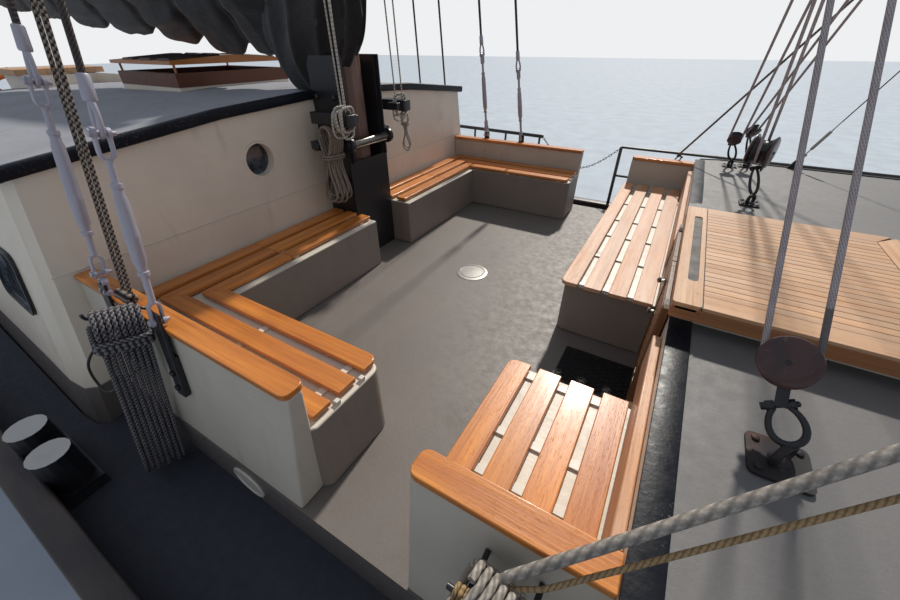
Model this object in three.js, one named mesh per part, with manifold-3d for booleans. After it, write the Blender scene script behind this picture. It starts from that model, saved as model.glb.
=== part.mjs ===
// Two-masted flat-bottomed sailing barge. Millimetres, +X to the bow, +Y to port, +Z up.
// The origin is on the flat bottom, amidships, on the centreline.
import * as THREE from "three";
import { mergeVertices } from "three/addons/utils/BufferGeometryUtils.js";
import Module from "manifold-3d";

const wasm = await Module();
wasm.setup();

// Driving dimensions
const GAP = 0.3; // between solids that touch
const RUN = 8; // clearance round a moving piece
const SIDE_DECK = 1900; // lowest point of the sheer
const WELL_DECK = 2200;
const RECESS_FLOOR = 1700; // deckhouses and well sit this deep in the hull
const BEAM_HALF = 2700;

const WELL = { aft: -5460, fore: -2780, half: 2100 };
const SEAT_TOP = WELL_DECK + 440;
const FORE_SEAT_TOP = WELL_DECK + 405;
const CAP_TOP = WELL_DECK + 656;

const FORE_HOUSE = { aft: WELL.fore, fore: 4900, half: 2330, topHalf: 2250, edge: 2850, crown: 2895 };
const AFT_HOUSE = { fore: WELL.aft, aft: -11300, edge: 3385, crown: 3530 };

// Each row of stays is a height and the directions in which lugs stand out there.
const MIZZEN = {
  x: -5320,
  foot: 2202,
  top: 15500,
  r: 130,
  topR: 65,
  hounds: 12000,
  stays: [[12000, [[0, 1], [0, -1]]]],
};
const MAIN = {
  x: 5900,
  foot: 2192,
  top: 22500,
  r: 164,
  topR: 70,
  hounds: 16500,
  stays: [[16500, [[0, 1], [0, -1], [1, 0]]], [20500, [[1, 0]]]],
};
const TABERNACLE = { width: 460, cheek: 60, wall: 12, lock: 32 };
const LEEBOARD = { x: 3400, z: 1790, y: [2810, 2875], pin: 45, length: 3900, width: 1560 };
const BITTS = { x: 11100, y: 210, top: 3330 };
const FORE_LID = { x: [8090, 8810], half: 360 };
const SKYLIGHT = { x: [-7600, -6650], half: 550, top: 3630, lift: 60, pin: 10 };

const PAINT = {
  cream: [0xc9c0b0, 0.45, 0.1],
  hull: [0x23262b, 0.45, 0.2],
  deck: [0x77777a, 0.8, 0.0],
  varnish: [0xb8722f, 0.35, 0.0],
  teak: [0xb58f60, 0.6, 0.0],
  spar: [0x5d4038, 0.45, 0.0],
  black: [0x24252a, 0.5, 0.3],
  sail: [0x33211f, 0.95, 0.0],
  steel: [0x9a9da0, 0.35, 0.9],
  bronze: [0xa07840, 0.35, 0.9],
  brown: [0x6a3a22, 0.5, 0.0],
};

const barge = new THREE.Group();

// Adds one named piece to the model.
function piece(name, paint, geometry) {
  const [color, roughness, metalness] = PAINT[paint];
  const mesh = new THREE.Mesh(geometry, new THREE.MeshStandardMaterial({ color, roughness, metalness }));
  mesh.name = name;
  barge.add(mesh);
}

// Solids and booleans
function solid(geometry) {
  const bare = geometry.clone();
  bare.deleteAttribute("normal");
  bare.deleteAttribute("uv");
  const merged = mergeVertices(bare, 1e-3);
  return new wasm.Manifold(
    new wasm.Mesh({
      numProp: 3,
      vertProperties: new Float32Array(merged.attributes.position.array),
      triVerts: new Uint32Array(merged.index.array),
    }),
  );
}

function geometryOf(manifold) {
  const mesh = manifold.getMesh();
  const points = new Float32Array(mesh.numVert * 3);
  for (let i = 0; i < mesh.numVert; i++) {
    points.set(mesh.vertProperties.subarray(i * mesh.numProp, i * mesh.numProp + 3), i * 3);
  }
  const geometry = new THREE.BufferGeometry();
  geometry.setAttribute("position", new THREE.BufferAttribute(points, 3));
  geometry.setIndex(new THREE.BufferAttribute(new Uint32Array(mesh.triVerts), 1));
  return geometry;
}

const join = (...parts) => geometryOf(parts.map(solid).reduce((a, b) => a.add(b)));
const cut = (part, ...tools) => geometryOf(tools.map(solid).reduce((a, b) => a.subtract(b), solid(part)));

// A box between two corners, given as ranges along X, Y and Z.
function box([x0, x1], [y0, y1], [z0, z1]) {
  const geometry = new THREE.BoxGeometry(x1 - x0, y1 - y0, z1 - z0);
  return geometry.translate((x0 + x1) / 2, (y0 + y1) / 2, (z0 + z1) / 2);
}

// A round bar or cone frustum from one point to another.
function bar(from, to, r0, r1 = r0, sides = 12) {
  const a = new THREE.Vector3(...from);
  const b = new THREE.Vector3(...to);
  const geometry = new THREE.CylinderGeometry(r1, r0, a.distanceTo(b), sides);
  const along = b.clone().sub(a).normalize();
  const turn = new THREE.Quaternion().setFromUnitVectors(new THREE.Vector3(0, 1, 0), along);
  return geometry.applyQuaternion(turn).translate(...a.add(b).multiplyScalar(0.5).toArray());
}

// A plate: an outline in one plane, given a thickness along the third axis.
// "xy" outlines rise from z0 to z1, "xz" outlines run from y0 to y1, "yz" outlines run from x0 to x1.
function plate(plane, outline, [low, high]) {
  const shape = new THREE.Shape(outline.map(([u, v]) => new THREE.Vector2(u, v)));
  const geometry = new THREE.ExtrudeGeometry(shape, { depth: high - low, bevelEnabled: false });
  if (plane === "xy") return geometry.translate(0, 0, low);
  if (plane === "xz") return geometry.rotateX(Math.PI / 2).translate(0, high, 0);
  return geometry.rotateX(Math.PI / 2).rotateZ(Math.PI / 2).translate(low, 0, 0);
}

// A skin over rings of points with the same count, closed by a flat cap at each end.
// The rings advance along +X and each ring runs anticlockwise seen from +X.
function loft(rings) {
  const count = rings[0].length;
  const points = rings.flat(2);
  const faces = [];
  for (let i = 0; i + 1 < rings.length; i++) {
    for (let j = 0; j < count; j++) {
      const a = i * count + j;
      const b = i * count + ((j + 1) % count);
      faces.push(a, b, b + count, a, b + count, a + count);
    }
  }
  const cap = (ring, first, flip) => {
    const flat = ring.map(([, y, z]) => new THREE.Vector2(y, z));
    for (const [a, b, c] of THREE.ShapeUtils.triangulateShape(flat, [])) {
      faces.push(first + a, first + (flip ? c : b), first + (flip ? b : c));
    }
  };
  cap(rings[0], 0, true);
  cap(rings[rings.length - 1], (rings.length - 1) * count, false);
  const geometry = new THREE.BufferGeometry();
  geometry.setAttribute("position", new THREE.Float32BufferAttribute(points, 3));
  geometry.setIndex(faces);
  return geometry;
}

const mirrorY = (geometry) => {
  const flipped = geometry.clone().scale(1, -1, 1);
  const order = flipped.index ? flipped.index.array : null;
  const list = order || Array.from({ length: flipped.attributes.position.count }, (_, i) => i);
  const turned = [];
  for (let i = 0; i < list.length; i += 3) turned.push(list[i], list[i + 2], list[i + 1]);
  flipped.setIndex(turned);
  return flipped;
};
const SIDES = { port: 1, starboard: -1 };
const toSide = (side, geometry) => (side === 1 ? geometry : mirrorY(geometry));

// Hull form
// Columns: x, keel height, half width of the flat bottom, bilge half width and height,
// side half width and height, half width at the deck edge.
const STATIONS = [
  [-14000, 1950, 250, 560, 1985, 800, 2090, 900],
  [-13500, 1690, 120, 800, 1800, 1180, 1980, 1400],
  [-12700, 1370, 60, 850, 1520, 1620, 1820, 1880],
  [-11900, 1120, 60, 900, 1320, 1900, 1650, 2160],
  [-10700, 720, 80, 1050, 960, 2120, 1400, 2400],
  [-9500, 330, 300, 1500, 560, 2330, 1120, 2560],
  [-8200, 60, 1100, 2000, 220, 2550, 760, 2650],
  [-6800, 0, 1850, 2360, 110, 2645, 450, 2695],
  [-4000, 0, 2250, 2540, 110, 2668, 420, BEAM_HALF],
  [1000, 0, 2250, 2540, 110, 2668, 420, BEAM_HALF],
  [3800, 0, 2250, 2540, 110, 2668, 420, BEAM_HALF],
  [6000, 0, 2250, 2540, 110, 2668, 420, BEAM_HALF],
  [8500, 0, 1650, 2120, 120, 2460, 500, 2640],
  [10500, 0, 820, 1280, 180, 1850, 700, 2400],
  [12000, 40, 200, 440, 330, 860, 1000, 1800],
  [12750, 620, 55, 190, 900, 400, 1450, 1280],
  [13350, 1560, 45, 110, 1750, 220, 2050, 760],
  [14000, 2560, 40, 60, 2640, 80, 2720, 150],
];
const SHEER = { low: -3000, bow: 950, bowPower: 2.4, stern: 420, length: { fore: 17000, aft: 11000 } };
const CAMBER = 60;
const TALL = 4000; // above every deckhouse

function sheer(x) {
  const ahead = x - SHEER.low;
  if (ahead > 0) return SIDE_DECK + SHEER.bow * (ahead / SHEER.length.fore) ** SHEER.bowPower;
  return SIDE_DECK + SHEER.stern * (ahead / SHEER.length.aft) ** 2;
}

// A value between stations, in a straight line as the plating runs.
function between(x, valueAt) {
  const i = Math.max(1, STATIONS.findIndex((row) => row[0] >= x));
  const [a, b] = [STATIONS[i - 1], STATIONS[i]];
  return valueAt(a) + ((valueAt(b) - valueAt(a)) * (x - a[0])) / (b[0] - a[0]);
}
const deckHalf = (x) => between(x, (row) => row[7]);
const deckEdge = (x) => between(x, (row) => sheer(row[0]));

const bothSides = (half) => [...half, ...half.slice().reverse().map(([x, y, z]) => [x, -y, z])];

const crownOf = (half) => CAMBER * 0.75 * (half / BEAM_HALF);

function hullRing([x, keelZ, keelHalf, bilgeHalf, bilgeZ, sideHalf, sideZ, edgeHalf]) {
  const deck = sheer(x);
  const half = [
    [x, keelHalf, keelZ],
    [x, bilgeHalf, bilgeZ],
    [x, sideHalf, sideZ],
    [x, edgeHalf, deck],
    [x, edgeHalf * 0.5, deck + crownOf(edgeHalf)],
  ];
  return bothSides(half);
}

// A strip along one deck edge: out from the edge, and up from the sheer.
function edgeStrip(stops, inset, [low, high]) {
  return loft(
    stops.map((x) => {
      const outer = deckHalf(x) + inset[1];
      const inner = deckHalf(x) + inset[0];
      const deck = sheer(x);
      const [z0, z1] = [deck + low, deck + high(x)];
      return [[x, inner, z0], [x, outer, z0], [x, outer, z1], [x, inner, z1]];
    }),
  );
}

const STRIP_STOPS = STATIONS.map((row) => row[0]);
const bulwarkHeight = (x) => {
  if (x > 6000) return 150 + 330 * Math.min(1, (x - 6000) / 6000);
  if (x < -9500) return 150 + 200 * Math.min(1, (-9500 - x) / 3000);
  return 150;
};

// Companionways: a shaft sunk through a deckhouse into the hull, with a doorway in the wall at its aft end.
const COMPANIONS = {
  forward_companion: {
    x: [-2780, -1894],
    y: [-880, 40],
    floor: 700,
    sill: 2290,
    top: 2934,
    bench: { y: -430, top: FORE_SEAT_TOP },
    slideTo: -900,
  },
  aft_companion: {
    x: [-11300, -10560],
    y: [-365, 365],
    floor: 1400,
    sill: 2330,
    top: 3490,
    slideTo: -9750,
  },
};
const FRAME_WALL = 60;
const shaft = (way) => box([way.x[0] + FRAME_WALL, way.x[1]], way.y, [way.floor, TALL]);
// Where a bench stands before the port half, the wall is left whole up to the seat and the port leaf is short.
const leafFoot = (way, leaf) => (way.bench && leaf === "port" ? way.bench.top + 10 : way.sill);
function doorways(way) {
  const x = [way.x[0] - FRAME_WALL, way.x[1]];
  const seam = way.bench ? way.bench.y : way.y[1];
  return [
    box(x, [way.y[0], seam], [way.sill, TALL]),
    box(x, way.y, [leafFoot(way, "port"), TALL]),
  ];
}
const runners = (way) => {
  const [y0, y1] = way.y;
  const rail = 45;
  const foot = way.top - 330;
  return [
    box([way.x[0] + 1, way.slideTo], [y0 - rail, y0], [foot, way.top]),
    box([way.x[0] + 1, way.slideTo], [y1, y1 + rail], [foot, way.top]),
    box([way.x[1], way.x[1] + rail], [y0 - rail, y1 + rail], [foot, way.top]),
  ];
};

const PROPELLER = { x: -11450, z: 540, r: 360, hub: 85, shaft: 30, pitch: 0.6 };
const STERN_TUBE = { aft: -11250, r: 80 };
const SKEG_TOP = 90;
const RUDDER = { x: -12150, r: 55, low: SKEG_TOP + 2 * GAP, high: 1120, head: 2420 };

// The plate on the stem that the bobstay pulls on, seen from the side.
const BOBSTAY_EYE = [[13100, 1200], [13330, 1270], [13330, 1400], [13160, 1400]];

// The flat pad at each bow that an anchor hangs against, below the deck edge.
const ANCHOR_PAD = { x: [12290, 12410], face: 1665, z: [2465, 2575] };

// Flat-topped pads that carry deck gear. Columns: x range, half width, height of the top.
const PADS = {
  main_step: [[5560, 6240], 330, 2190],
  windlass: [[10020, 10620], 620, 2530],
  fore_hatch: [[8050, 8850], 400, 2480],
  helm: [[-12560, -11880], 300, 2260],
};

const ROOF_LIP = 22; // how far the roof's edge trim stands proud
const ROOF_TRIM = 45;
function houseRing(x, half, topHalf, edge, crown, low) {
  return bothSides([
    [x, half, low],
    [x, half, SIDE_DECK],
    [x, topHalf, edge - ROOF_TRIM],
    [x, topHalf + ROOF_LIP, edge - ROOF_TRIM],
    [x, topHalf + ROOF_LIP, edge],
    [x, topHalf * 0.5, edge + (crown - edge) * 0.75],
    [x, topHalf * 0.15, crown],
  ]);
}

// Columns: x, half width at the deck, half width at the roof edge, roof edge height, roof crown height.
const AFT_HOUSE_STATIONS = [
  [AFT_HOUSE.aft, 1480, 1260, 3230, 3330],
  [AFT_HOUSE.aft + 90, 1600, 1380, 3232, 3335],
  [-9500, 1990, 1720, 3300, 3420],
  [-7500, 2270, 1990, 3360, 3500],
  [AFT_HOUSE.fore - 200, 2325, 2060, AFT_HOUSE.edge, AFT_HOUSE.crown],
  [AFT_HOUSE.fore - 50, 2310, 2045, AFT_HOUSE.edge, AFT_HOUSE.crown],
  [AFT_HOUSE.fore - GAP, 2265, 2010, AFT_HOUSE.edge, AFT_HOUSE.crown],
];
const FORE_HOUSE_STATIONS = [
  [FORE_HOUSE.aft + GAP, 2200, 2120],
  [FORE_HOUSE.aft + 50, 2295, 2215],
  [FORE_HOUSE.aft + 200, FORE_HOUSE.half, FORE_HOUSE.topHalf],
  [FORE_HOUSE.fore - 200, FORE_HOUSE.half, FORE_HOUSE.topHalf],
  [FORE_HOUSE.fore, 2180, 2100],
];
const aftHouseSkin = () =>
  loft(
    AFT_HOUSE_STATIONS.map(([x, half, top, edge, crown]) =>
      houseRing(x, half, top, edge, crown, RECESS_FLOOR + GAP),
    ),
  );
const foreHouseSkin = () =>
  loft(
    FORE_HOUSE_STATIONS.map(([x, half, top]) =>
      houseRing(x, half, top, FORE_HOUSE.edge, FORE_HOUSE.crown, RECESS_FLOOR + GAP),
    ),
  );

// The recess that a deckhouse sits in: its own outline, larger by the gap all round.
function recess(stations) {
  const last = stations.length - 1;
  const grow = (i) => (i === last) * GAP - (i === 0) * GAP;
  const portEdge = stations.map(([x, half], i) => [x + grow(i), half + GAP]);
  const starboardEdge = portEdge.map(([x, y]) => [x, -y]);
  return plate("xy", [...starboardEdge, ...portEdge.reverse()], [RECESS_FLOOR, TALL]);
}

// Bollards on the side decks, each on its own level pad. Columns: name, x
const BOLLARDS = [
  ["well", -5290],
  ["bow", 9300],
];
const BOLLARD = { spread: 140, half: 245, width: 95, r: 86, rise: 240 };
const bollardPlace = (x) => ({
  y: Math.min(deckHalf(x - BOLLARD.half), deckHalf(x + BOLLARD.half)) - 165,
  foot: Math.max(deckEdge(x - BOLLARD.half), deckEdge(x + BOLLARD.half)) + crownOf(deckHalf(x)) + 2,
});

// A round hole that clears a turning shaft of as many sides.
const holeRadius = (r, clearance, sides) => (r + clearance) / Math.cos(Math.PI / sides);

const leeboardPin = (reach, r) => bar([LEEBOARD.x, 2500, LEEBOARD.z], [LEEBOARD.x, reach, LEEBOARD.z], r);

function hull() {
  const skin = loft(STATIONS.map(hullRing));
  const strips = Object.values(SIDES).flatMap((side) => [
    toSide(side, edgeStrip(STRIP_STOPS, [-60, 0], [-150, bulwarkHeight])),
    toSide(side, edgeStrip(STRIP_STOPS, [-80, 45], [-190, () => -60])),
    toSide(side, leeboardPin(LEEBOARD.y[1] + 30, LEEBOARD.pin)),
    toSide(side, leeboardPin(LEEBOARD.y[0] - 2 * GAP, 120)),
    ...BOLLARDS.map(([, x]) => {
      const { y, foot } = bollardPlace(x);
      const { half, width } = BOLLARD;
      return toSide(side, box([x - half, x + half], [y - width, y + width], [foot - 120, foot]));
    }),
    toSide(side, box([BITTS.x - 60, BITTS.x + 60], [BITTS.y - 60, BITTS.y + 60], [2300, BITTS.top])),
    toSide(side, box(ANCHOR_PAD.x, [1400, ANCHOR_PAD.face], ANCHOR_PAD.z)),
  ]);
  const stern = box([-14000, -13940], [-900, 900], [2100, sheer(-14000) + bulwarkHeight(-14000)]);
  const skegOutline = [
    [-12250, 0],
    [-8000, 0],
    [-8000, 300],
    [-10600, 900],
    [-11100, 900],
    [-11150, SKEG_TOP],
    [-12250, SKEG_TOP],
  ];
  const pads = Object.values(PADS).map(([x, half, top]) => box(x, [-half, half], [top - 400, top]));
  const bobstayEye = plate("xz", BOBSTAY_EYE, [-22, 22]);
  const sternTube = bar([STERN_TUBE.aft, 0, PROPELLER.z], [-9600, 0, PROPELLER.z], STERN_TUBE.r);
  const rim = 50;
  const foreHatchHole = box(
    [FORE_LID.x[0] + rim, FORE_LID.x[1] - rim],
    [-FORE_LID.half + rim, FORE_LID.half - rim],
    [1900, TALL],
  );
  return cut(
    join(skin, ...strips, stern, plate("xz", skegOutline, [-45, 45]), ...pads, sternTube, bobstayEye),
    recess(AFT_HOUSE_STATIONS),
    recess(FORE_HOUSE_STATIONS),
    box([WELL.aft - 2, WELL.fore + 2], [-WELL.half - GAP, WELL.half + GAP], [RECESS_FLOOR, TALL]),
    ...Object.values(COMPANIONS).map(shaft),
    foreHatchHole,
    bar([RUDDER.x, 0, 1000], [RUDDER.x, 0, 3000], holeRadius(RUDDER.r, RUN, 12)),
    bar([-11400, 0, PROPELLER.z], [-9700, 0, PROPELLER.z], holeRadius(PROPELLER.shaft, 0.6, 12)),
  );
}
piece("hull", "hull", hull());

// Deckhouses and well deck
const PORTHOLE = { y: -800, z: WELL_DECK + 960, r: 108, depth: 70 };
const porthole = bar(
  [WELL.aft - PORTHOLE.depth, PORTHOLE.y, PORTHOLE.z],
  [WELL.aft + 20, PORTHOLE.y, PORTHOLE.z],
  PORTHOLE.r,
  PORTHOLE.r,
  24,
);
// Door leaves turn on pins that stand in lugs on the wall, above and below each leaf.
const DOOR = { thick: 30, off: 6, side: 4, meeting: 3, foot: 6, head: 30, pivot: [21, 16] };
const HINGE = { pin: 6, depth: 24, lug: 21, clear: 2 * GAP };
const doorSpan = (way, leaf) => [leafFoot(way, leaf) + DOOR.foot, way.top - DOOR.head];
// Columns: side of the leaf, Y of its pivot, direction from the pivot to the wall
const pivots = (way) => [
  ["starboard", way.y[0] + DOOR.pivot[1], -1],
  ["port", way.y[1] - DOOR.pivot[1], 1],
];
function pivotBar(way, y, [low, high], r) {
  const x = way.x[0] - DOOR.pivot[0];
  return bar([x, y, low], [x, y, high], r, r, 8);
}
function hingeLugs(way) {
  const near = way.x[0];
  return pivots(way).flatMap(([leaf, y, out]) => {
    const [low, high] = doorSpan(way, leaf);
    const width = out > 0 ? [y - 12, y + 36] : [y - 36, y + 12];
    return [
      box([near - DOOR.pivot[0] - 12, near + 20], width, [high + HINGE.clear, high + HINGE.lug]),
      box([near - DOOR.pivot[0] - 12, near + 20], width, [low - HINGE.lug, low - HINGE.clear]),
      pivotBar(way, y, [high - HINGE.depth + 4, high + 10], HINGE.pin),
      pivotBar(way, y, [low - 10, low + HINGE.depth - 4], HINGE.pin),
    ];
  });
}
function house(skin, way, ...tools) {
  return join(cut(join(skin, ...runners(way)), shaft(way), ...doorways(way), ...tools), ...hingeLugs(way));
}
const skylightWell = box(
  [SKYLIGHT.x[0] + 60, SKYLIGHT.x[1] - 60],
  [-SKYLIGHT.half + 60, SKYLIGHT.half - 60],
  [SKYLIGHT.top - 500, TALL],
);
const skylightPins = SKYLIGHT.x.flatMap((x, i) => {
  const inset = i === 0 ? 30 : -30;
  return [-1, 1].map((d) => [x + inset, d * (SKYLIGHT.half - 30)]);
});
const skylightPinBar = ([x, y], r, low, high) => bar([x, y, low], [x, y, high], r, r, 8);
const skylightBores = skylightPins.map((at) =>
  skylightPinBar(at, SKYLIGHT.pin + 0.5, SKYLIGHT.top - 220, TALL),
);
const skylightFrame = box(SKYLIGHT.x, [-SKYLIGHT.half, SKYLIGHT.half], [SKYLIGHT.top - 300, SKYLIGHT.top]);
piece("forward_deckhouse", "cream", house(foreHouseSkin(), COMPANIONS.forward_companion));
const aftHouseCuts = [porthole, skylightWell, ...skylightBores];
piece(
  "aft_deckhouse",
  "cream",
  house(join(aftHouseSkin(), skylightFrame), COMPANIONS.aft_companion, ...aftHouseCuts),
);
piece(
  "well_deck",
  "deck",
  box([WELL.aft + GAP, WELL.fore - GAP], [-WELL.half, WELL.half], [RECESS_FLOOR + GAP, WELL_DECK]),
);

// Well furniture: welded steel bench boxes with the panels that close the well's sides,
// a wooden cap on each panel, and wooden slats on cross bearers.
const PANEL = { footOut: 2095, topOut: 2012, topIn: 1945, footIn: 1965, top: CAP_TOP - 27 };
const CAP = { in: 1928, out: 2024 };
const AFT_PANEL = { aft: WELL.aft + GAP, footFore: -3890, capFore: -3850 };
const FORE_PANEL = { aft: -3344, footFore: WELL.fore - GAP, capFore: WELL.fore - GAP };
const PLANK = 26; // plank thickness
const BEARER = 10;
const ROUND = 60; // corner radius of the bench boxes
const TABERNACLE_SIDE = TABERNACLE.width / 2 + GAP;
// Rows are the edges of each slat.
const SIDE_BENCH = {
  front: 1545,
  end: -3850,
  rows: [[1535, 1635], [1687, 1790], [1834, 1930]],
  slatEnd: -3875,
};
const AFT_BENCH = { front: -4970, rows: [[-5020, -5120], [-5170, -5275], [-5320, -5420]], slatEnd: 245 };
const FORE_BENCH = { front: -3345, rows: [[-3355, -3252], [-3213, -3110], [-3069, -2966], [-2930, -2825]] };
// Columns: inner end of the box, ends of the slats. The port bench runs on past the port half of the doorway.
const FORE_ENDS = { port: [-350, -395, 1898], starboard: [1190, 1195, 1898] };

// A leaning panel on the side of the well, from its aft end to its raked forward end.
function wellPanel({ aft, footFore, capFore }) {
  const ring = (foot, cap) => [
    [foot, PANEL.footIn, WELL_DECK + GAP],
    [foot, PANEL.footOut, WELL_DECK + GAP],
    [cap, PANEL.topOut, PANEL.top],
    [cap, PANEL.topIn, PANEL.top],
  ];
  return loft([ring(aft, aft), ring(footFore, capFore)]);
}
const panelCap = ({ aft, capFore }) => box([aft, capFore], [CAP.in, CAP.out], [PANEL.top + GAP, CAP_TOP]);

// Two edges cut off a corner in the way of a round one.
const corner = ([x, y], [dx, dy]) => [
  [x - dx * ROUND, y],
  [x - dx * ROUND * 0.3, y - dy * ROUND * 0.3],
  [x, y - dy * ROUND],
];
const backing = PANEL.footIn + 10; // the boxes run into the panels they are welded to

for (const [sideName, side] of Object.entries(SIDES)) {
  const boxTop = SEAT_TOP - PLANK - BEARER - GAP;
  const outline = [
    [WELL.aft + GAP, TABERNACLE_SIDE],
    [AFT_BENCH.front, TABERNACLE_SIDE],
    [AFT_BENCH.front, SIDE_BENCH.front],
    ...corner([SIDE_BENCH.end, SIDE_BENCH.front], [1, -1]),
    [SIDE_BENCH.end, PANEL.topIn],
    [-3880, backing],
    [WELL.aft + GAP, backing],
  ];
  const aftBox = plate("xy", outline, [WELL_DECK + GAP, boxTop]);
  piece(`aft_bench_box_${sideName}`, "cream", toSide(side, join(aftBox, wellPanel(AFT_PANEL))));
  piece(`aft_panel_cap_${sideName}`, "varnish", toSide(side, panelCap(AFT_PANEL)));

  // Each plank turns the corner from the side bench to the aft bench.
  const planks = SIDE_BENCH.rows.map(([y0, y1], i) => {
    const [x0, x1] = AFT_BENCH.rows[i];
    const end = SIDE_BENCH.slatEnd;
    const stop = AFT_BENCH.slatEnd;
    const outlineL = [[end, y0], [end, y1], [x1, y1], [x1, stop], [x0, stop], [x0, y0]];
    return plate("xy", outlineL, [SEAT_TOP - PLANK, SEAT_TOP]);
  });
  const under = [SEAT_TOP - PLANK - BEARER, SEAT_TOP - PLANK + 4];
  const sideBearers = [SIDE_BENCH.slatEnd - 110, -4560].map((x) => box([x, x + 40], [1540, 1925], under));
  const aftBearers = [1000, 330].map((y) => box([-5415, -5025], [y, y + 40], under));
  piece(`seat_slats_${sideName}`, "varnish", toSide(side, join(...planks, ...sideBearers, ...aftBearers)));

  const [inner, slatInner, slatOuter] = FORE_ENDS[sideName];
  const foreTop = FORE_SEAT_TOP - PLANK - BEARER - GAP;
  const foreOutline = [
    ...corner([FORE_BENCH.front, inner], [-1, -1]),
    [FORE_BENCH.front, backing],
    [WELL.fore - GAP, backing],
    [WELL.fore - GAP, inner],
  ];
  const foreBox = plate("xy", foreOutline, [WELL_DECK + GAP, foreTop]);
  piece(`forward_bench_box_${sideName}`, "cream", toSide(side, join(foreBox, wellPanel(FORE_PANEL))));
  piece(`forward_panel_cap_${sideName}`, "varnish", toSide(side, panelCap(FORE_PANEL)));
  const forePlanks = FORE_BENCH.rows.map((x) =>
    box(x, [slatInner, slatOuter], [FORE_SEAT_TOP - PLANK, FORE_SEAT_TOP]),
  );
  const foreUnder = [FORE_SEAT_TOP - PLANK - BEARER, FORE_SEAT_TOP - PLANK + 4];
  const foreBearers = [inner + 120, slatOuter - 158].map((y) =>
    box([-3345, -2835], [y, y + 40], foreUnder),
  );
  piece(`forward_seat_slats_${sideName}`, "varnish", toSide(side, join(...forePlanks, ...foreBearers)));
}

// Companionway pieces: a sliding hatch on the runners, two doors that open outwards, a ladder
const HATCH = { thick: 70, side: 125, aft: 20, fore: 25, clear: 6, shoe: 40 };
for (const [name, way] of Object.entries(COMPANIONS)) {
  const [y0, y1] = way.y;
  const near = way.x[0];
  const hatchLow = way.top + HATCH.clear;
  const hatchX = [near - HATCH.aft, way.x[1] + HATCH.fore];
  const shoes = [y0 - HATCH.shoe, y1].map((y) =>
    box([near + 10, way.x[1] - 10], [y, y + HATCH.shoe], [way.top + GAP, hatchLow + 10]),
  );
  const top = box(hatchX, [y0 - HATCH.side, y1 + HATCH.side], [hatchLow, hatchLow + HATCH.thick]);
  piece(`${name}_hatch`, "teak", join(top, ...shoes));

  const middle = (y0 + y1) / 2;
  const face = near - DOOR.off - DOOR.thick;
  for (const [leaf, y] of pivots(way)) {
    const [low, high] = doorSpan(way, leaf);
    const port = [middle + DOOR.meeting, y1 - DOOR.side];
    const span = y < middle ? [y0 + DOOR.side, middle - DOOR.meeting] : port;
    const panel = box([face, face + DOOR.thick], span, [low, high]);
    const bore = holeRadius(HINGE.pin, 0.5, 8);
    const depths = [[low - 5, low + HINGE.depth], [high - HINGE.depth, high + 5]];
    const bores = depths.map((z) => pivotBar(way, y, z, bore));
    piece(`${name}_door_${leaf}`, "brown", cut(panel, ...bores));
  }
  const stileX = [near + FRAME_WALL + GAP, near + FRAME_WALL + 60];
  const ladderTop = way.sill - 60;
  const stiles = [y0 + 60, y1 - 90].map((y) => box(stileX, [y, y + 30], [way.floor + GAP, ladderTop]));
  const steps = Math.round((ladderTop - way.floor) / 270);
  const treads = Array.from({ length: steps }, (_, i) => {
    const z = way.floor + ((i + 1) * (ladderTop - way.floor)) / steps;
    return box([stileX[0], stileX[0] + 220], [y0 + 62, y1 - 62], [z - 25, z]);
  });
  piece(`${name}_ladder`, "varnish", join(...stiles, ...treads));
}

// The foredeck hatch lid, hinged at its forward edge
const LID = { thick: 45, over: 20, clear: 6 };
function foredeckLid() {
  const coaming = PADS.fore_hatch[2];
  const [aft, fore] = FORE_LID.x;
  const half = FORE_LID.half + LID.over;
  const low = coaming + LID.clear;
  const top = box([aft - LID.over, fore + LID.over], [-half, half], [low, low + LID.thick]);
  const hinges = [-250, 190].map((y) =>
    box([fore - 30, fore + 10], [y, y + 60], [coaming + GAP, coaming + 20]),
  );
  return join(top, ...hinges);
}
piece("foredeck_hatch_lid", "teak", foredeckLid());

// The skylight's low gabled lid, lifted on four pins
const lidLow = SKYLIGHT.top + SKYLIGHT.lift;
const lidSection = [
  [-SKYLIGHT.half - 20, lidLow],
  [SKYLIGHT.half + 20, lidLow],
  [SKYLIGHT.half + 20, lidLow + 25],
  [0, lidLow + 60],
  [-SKYLIGHT.half - 20, lidLow + 25],
];
piece(
  "skylight_lid",
  "teak",
  join(
    plate("yz", lidSection, [SKYLIGHT.x[0] - 20, SKYLIGHT.x[1] + 20]),
    ...skylightPins.map((at) => skylightPinBar(at, SKYLIGHT.pin, SKYLIGHT.top - 130, lidLow + 5)),
  ),
);

const HOUND_TAPER = 0.75; // share of the foot radius that is left at the hounds
function mastRadius({ r, topR, hounds, top }, z) {
  const houndR = r * HOUND_TAPER;
  if (z <= hounds) return houndR;
  return houndR + ((topR - houndR) * (z - hounds)) / (top - hounds);
}

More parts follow.
